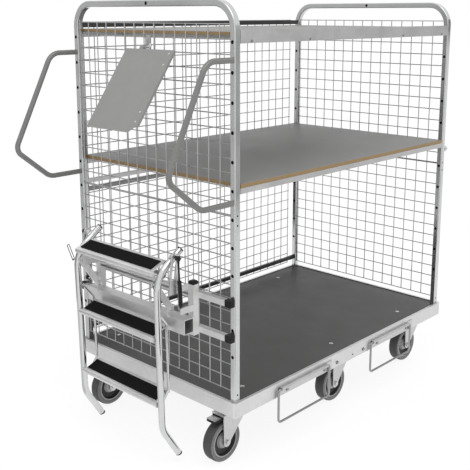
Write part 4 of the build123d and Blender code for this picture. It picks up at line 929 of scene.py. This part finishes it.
class CART_OT_tie_bar(Operator):
    """Adds the grooved bar that ties the uprights of the ladder bracket."""
    bl_idname = "cart.tie_bar"
    bl_label = "Tie bar"

    def execute(self, context):
        sizes = context.scene.cart_sizes
        (front_low, front_high), (back_low, _) = upright_tops()
        top = front_high.z - sizes.tie_drop
        foot = top - sizes.tie_height
        face = front_low.x + sizes.edge
        back = front_high.x - sizes.edge
        groove = back - sizes.tie_wall
        upper, lower = top - sizes.tie_lip, foot + sizes.tie_lip
        section = ((face, foot), (back, foot), (back, top), (face, top), (face, upper), (groove, upper),
                   (groove, lower), (face, lower))

        def build(shape):
            bridge_all(shape, [[shape.verts.new((x, y, z)) for x, z in section]
                               for y in (front_high.y, back_low.y)])
            runs = [edge for edge in shape.edges
                    if abs(edge.verts[0].co.y - edge.verts[1].co.y) > sizes.tie_height]
            bmesh.ops.bevel(shape, geom=runs, offset=sizes.edge, segments=2, profile=0.5, affect="EDGES")

        mesh = mesh_from("bracket_tie_bar", build, "light")
        smooth(mesh, angle=50.0)
        settle(mesh, "cart", "zinc_steel")
        return {"FINISHED"}


class CART_OT_caps(Operator):
    """Closes the uprights of the ladder bracket with black caps."""
    bl_idname = "cart.caps"
    bl_label = "Upright caps"

    def execute(self, context):
        sizes = context.scene.cart_sizes
        for side, (low, high) in zip(SIDES, upright_tops()):
            mesh = board_mesh("upright_cap_" + side, low, high + sizes.cap_rise * AXIS_Z, sizes.edge,
                              "black_plastic", "black_plastic", sizes.cap_crown)
            settle(mesh, "cart", "black_plastic")
        return {"FINISHED"}


class CART_OT_lever(Operator):
    """Replaces the plain release lever with a flat loop of bent wire."""
    bl_idname = "cart.lever"
    bl_label = "Release lever"

    def execute(self, context):
        wire = context.scene.cart_sizes.lever_wire
        low, high = box_of("release_lever")
        pivot = pivot_of("release_lever")
        pivot.y = (low.y + high.y) / 2
        corners = [corner - pivot for corner in corners_of("release_lever")]
        for corner in corners:
            corner.y = 0.0
        reach = max(corner.length for corner in corners)
        tip = sum((corner for corner in corners if corner.length > reach - ON_FACE), Vector())
        along = tip.normalized()
        across = Vector((along.z, 0.0, -along.x))
        half = max(across.dot(corner) for corner in corners)
        points = []
        for centre, first in ((pivot, pi / 2), (pivot + (reach - half) * along, -pi / 2)):
            for step in range(BEND_STEPS + 1):
                turn = first + pi * step / BEND_STEPS
                points.append(centre + (half - wire / 2) * (cos(turn) * along + sin(turn) * across))
        edges = [(index, (index + 1) % len(points)) for index in range(len(points))]
        mesh = grow("release_lever_loop", loop_tree(), "gas_black", {"Wire": wire}, points, edges)
        smooth(mesh, angle=60.0)
        settle(mesh, "release_lever", "zinc_steel", "release_lever")
        return {"FINISHED"}


class CART_OT_spring_ends(Operator):
    """Adds the black end fittings over the upper eyes of the gas springs."""
    bl_idname = "cart.spring_ends"
    bl_label = "Gas spring ends"

    def execute(self, context):
        top = pivot_of("gas_rod_swing")
        down = (pivot_of("gas_cylinder_swing") - top).normalized()
        rods = sorted(solid_boxes("gas_rods"), key=lambda pair: pair[0].y)
        for side, inward, (low, high) in zip(SIDES, (1.0, -1.0), rods):
            eye = Vector((top.x, (low.y + high.y) / 2, top.z))
            stud = Vector((0.0, inward, 0.0))

            def build(shape):
                turned(shape, eye, stud, SPRING_HEAD)
                turned(shape, eye, down, SPRING_NECK)

            mesh = mesh_from("spring_end_" + side, build, "gas_black")
            smooth(mesh, angle=50.0)
            settle(mesh, "gas_rods", "gas_black")
        return {"FINISHED"}


class CART_OT_pedals(Operator):
    """Adds the plated caps of the brake pedals."""
    bl_idname = "cart.pedals"
    bl_label = "Pedal caps"

    def execute(self, context):
        for corner in BRAKED:
            low, high = box_of("brake_pedal_" + corner)
            inset = PEDAL_INSET * (high.y - low.y)
            foot = Vector((low.x + inset, low.y + inset, high.z - PEDAL_FOOT))
            head = Vector((high.x - PEDAL_HEEL, high.y - inset, high.z - PEDAL_HEAD))
            mesh = board_mesh("pedal_cap_" + corner, foot, head, PEDAL_EDGE, "zinc_steel", "zinc_steel")
            settle(mesh, "brake_" + corner, "zinc_steel")
        return {"FINISHED"}


class CART_OT_wheels(Operator):
    """Replaces the plain tyres and rims with turned ones that show the side ring, the recess with its painted
    shade, and hub.
    """
    bl_idname = "cart.wheels"
    bl_label = "Wheels"

    def execute(self, context):
        for corner in CORNERS:
            low, high = box_of("tyre_" + corner)
            hub_low, hub_high = box_of("rim_" + corner)
            centre = (low + high) / 2
            radius = (high.z - low.z) / 2
            half = (high.y - low.y) / 2
            hub = (hub_high.y - hub_low.y) / 2
            tyre, seat, rim = ([(radius * reach, half * side, finish) for reach, side, finish in points]
                               for points in (TYRE_HALF, (TYRE_SEAT,), RIM_HALF))
            rim += [(radius * reach, hub, HUB_FINISH) for reach in HUB_RADII]
            self.turn("tyre", corner, both_sides(tyre, seat), centre, TYRE_FINISHES, sharp=40.0)
            self.turn("rim", corner, both_sides(rim), centre, RIM_FINISHES, sharp=35.0)
        return {"FINISHED"}

    def turn(self, kind, corner, profile, centre, finishes, sharp):
        """Turns one tyre or rim and puts it in the place of the plain one."""
        mesh = mesh_from(kind + "_dressed_" + corner, lambda shape: lathe(shape, profile, centre), *finishes)
        smooth(mesh, angle=sharp)
        settle(mesh, "wheel_" + corner, finishes[0], kind + "_" + corner)


class CART_OT_bolts(Operator):
    """Puts turned hexagon bolts on the frame and domed bolts on the deck."""
    bl_idname = "cart.bolts"
    bl_label = "Bolts"

    def execute(self, context):
        sizes = context.scene.cart_sizes
        kinds = {}
        for low, high in solid_boxes("frame_bolts"):
            middle = (low + high) / 2
            wide, deep = (round(size, DIGITS) for size in (high - low).xy)
            if wide > deep:
                kind = ((pi / 2, 0.0, 0.0), wide, deep)
                place = (middle.x, high.y, middle.z)
            else:
                kind = ((0.0, pi / 2, 0.0), deep, wide)
                place = (low.x, middle.y, middle.z)
            kinds.setdefault(kind, []).append(place)
        tree = bolt_tree()
        shape = bmesh.new()
        for (turn, head, rise), points in kinds.items():
            mesh = grow("bolts", tree, "dull", {"Head": head, "Rise": rise, "Turn": turn}, points)
            shape.from_mesh(mesh)
            bpy.data.meshes.remove(mesh)
        whole = bpy.data.meshes.new("frame_bolts_dressed")
        shape.to_mesh(whole)
        shape.free()
        whole.materials.append(FINISH["dull"])
        smooth(whole)
        settle(whole, "cart", "zinc_steel", "frame_bolts")
        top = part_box("deck_board")[1][2]
        points = [(*((low + high) / 2).xy, top) for low, high in solid_boxes("deck_bolts")]
        mesh = grow("deck_bolts_dressed", dome_tree(), "zinc_steel", {
            "Head": sizes.dome, "Rise": sizes.dome_rise}, points)
        smooth(mesh, angle=50.0)
        settle(mesh, "cart", "zinc_steel", "deck_bolts")
        return {"FINISHED"}


class CART_OT_stage(Operator):
    """Floor, light, cards for the reflections, and camera."""
    bl_idname = "cart.stage"
    bl_label = "Stage"

    def execute(self, context):
        stage = context.scene.cart_stage
        scene = context.scene
        scene.view_settings.view_transform = "Standard"
        self.add_floor(stage.floor)
        self.light_world(scene, stage.sky)
        self.add_key_light(stage.key)
        for name, heading, distance, width, foot, top, shade in ROUND_CARDS:
            angle = radians(heading)
            place = Vector((cos(angle) * distance, sin(angle) * distance, (foot + top) / 2))
            self.add_card(name, place, Vector((-place.x, -place.y, 0.0)), width, top - foot, shade)
        for name, low, high, shade in FLOOR_CARDS:
            place = Vector(((low[0] + high[0]) / 2, (low[1] + high[1]) / 2, FLOOR_CARD_HEIGHT))
            self.add_card(name, place, Vector((0.0, 0.0, -1.0)), high[0] - low[0], high[1] - low[1], shade)
        for name, place, facing, width, height, shade in CLOSE_CARDS:
            self.add_card(name, Vector(place), Vector(facing), width, height, shade)
        self.add_camera(scene, stage)
        return {"FINISHED"}

    def add_floor(self, glow):
        """A pale floor with some light of its own."""
        mesh = mesh_from("floor", lambda shape: bmesh.ops.create_grid(
            shape, x_segments=1, y_segments=1, size=FLOOR_REACH))
        paper, shader = matt("Pale floor", FLOOR_SHADE)
        shader["Specular IOR Level"].default_value = 0.0
        shader["Emission Color"].default_value = WHITE
        shader["Emission Strength"].default_value = glow
        mesh.materials.append(paper)
        new_object("floor", mesh)

    def light_world(self, scene, sky):
        """An even pale surrounding that the camera and metal see as white."""
        world = bpy.data.worlds.new("Pale studio")
        world.use_nodes = True
        scene.world = world
        tree = world.node_tree
        background = tree.nodes["Background"].inputs
        background["Color"].default_value = WHITE
        rays = add(tree, "ShaderNodeLightPath").outputs
        seen = maths(tree, "MAXIMUM", rays["Is Camera Ray"], rays["Is Glossy Ray"])
        seen = maths(tree, "MAXIMUM", seen, rays["Is Transmission Ray"])
        strength = add(tree, "ShaderNodeMapRange", {"Value": seen, "To Min": sky, "To Max": 1.0})
        tree.links.new(strength.outputs[0], background["Strength"])

    def add_key_light(self, power):
        """A large soft light overhead."""
        lamp = bpy.data.lights.new("key", "AREA")
        lamp.shape = "DISK"
        lamp.size = KEY_SIZE
        lamp.energy = power
        holder = new_object("key", lamp)
        holder.location = KEY_PLACE
        holder.rotation_euler = (KEY_TARGET - KEY_PLACE).to_track_quat("-Z", "Y").to_euler()

    def add_card(self, name, place, facing, width, height, shade):
        """A card that shows only as a band in polished metal."""
        mesh = bpy.data.meshes.new(name)
        x, y = width / 2, height / 2
        mesh.from_pydata([(-x, -y, 0.0), (x, -y, 0.0), (x, y, 0.0), (-x, y, 0.0)], [], [(0, 1, 2, 3)])
        mesh.transform(Matrix.Translation(place) @ facing.to_track_quat("-Z", "Y").to_matrix().to_4x4())
        mesh.materials.append(matt(name, shade)[0])
        card = new_object(name, mesh)
        card.visible_camera = False
        card.visible_diffuse = False
        card.visible_shadow = False

    def add_camera(self, scene, stage):
        """The camera at the viewing angle of the picture."""
        camera = bpy.data.cameras.new("camera")
        camera.lens = stage.lens
        camera.sensor_width = SENSOR_WIDTH
        camera.shift_y = stage.shift
        camera.clip_end = SIGHT
        holder = new_object("camera", camera)
        holder.location = stage.camera
        level = cos(stage.pitch)
        heading = Vector((cos(stage.yaw) * level, sin(stage.yaw) * level, sin(stage.pitch)))
        holder.rotation_euler = heading.to_track_quat("-Z", "Y").to_euler()
        scene.camera = holder


class CART_PT_panel(Panel):
    """Lists the steps that dress the cart."""
    bl_idname = "CART_PT_panel"
    bl_label = "Order picking cart"
    bl_space_type = "VIEW_3D"
    bl_region_type = "UI"
    bl_category = "Cart"

    def draw(self, context):
        for operator in OPERATORS:
            self.layout.operator(operator.bl_idname)
        for group in (context.scene.cart_finishes, context.scene.cart_sizes, context.scene.cart_stage):
            for name in group.bl_rna.properties.keys():
                if name not in ("rna_type", "name"):
                    self.layout.prop(group, name)


OPERATORS = (
    CART_OT_finishes, CART_OT_wire_panels, CART_OT_shade_linings, CART_OT_boards, CART_OT_rivets, CART_OT_tie_bar,
    CART_OT_caps, CART_OT_lever, CART_OT_spring_ends, CART_OT_pedals, CART_OT_wheels, CART_OT_bolts,
    CART_OT_stage)
CLASSES = (CartFinishes, CartSizes, CartStage) + OPERATORS + (CART_PT_panel,)


def register():
    """Registers the classes and their settings."""
    for kind in CLASSES:
        bpy.utils.register_class(kind)
    bpy.types.Scene.cart_finishes = PointerProperty(type=CartFinishes)
    bpy.types.Scene.cart_sizes = PointerProperty(type=CartSizes)
    bpy.types.Scene.cart_stage = PointerProperty(type=CartStage)


def unregister():
    """Removes the settings and the classes."""
    del bpy.types.Scene.cart_finishes
    del bpy.types.Scene.cart_sizes
    del bpy.types.Scene.cart_stage
    for kind in reversed(CLASSES):
        bpy.utils.unregister_class(kind)


def main():
    """Dresses the cart."""
    register()
    bpy.ops.cart.finishes()
    bpy.ops.cart.wire_panels()
    bpy.ops.cart.linings()
    bpy.ops.cart.boards()
    bpy.ops.cart.rivets()
    bpy.ops.cart.tie_bar()
    bpy.ops.cart.caps()
    bpy.ops.cart.lever()
    bpy.ops.cart.spring_ends()
    bpy.ops.cart.pedals()
    bpy.ops.cart.wheels()
    bpy.ops.cart.bolts()
    bpy.ops.cart.stage()


if __name__ == "__main__":
    main()
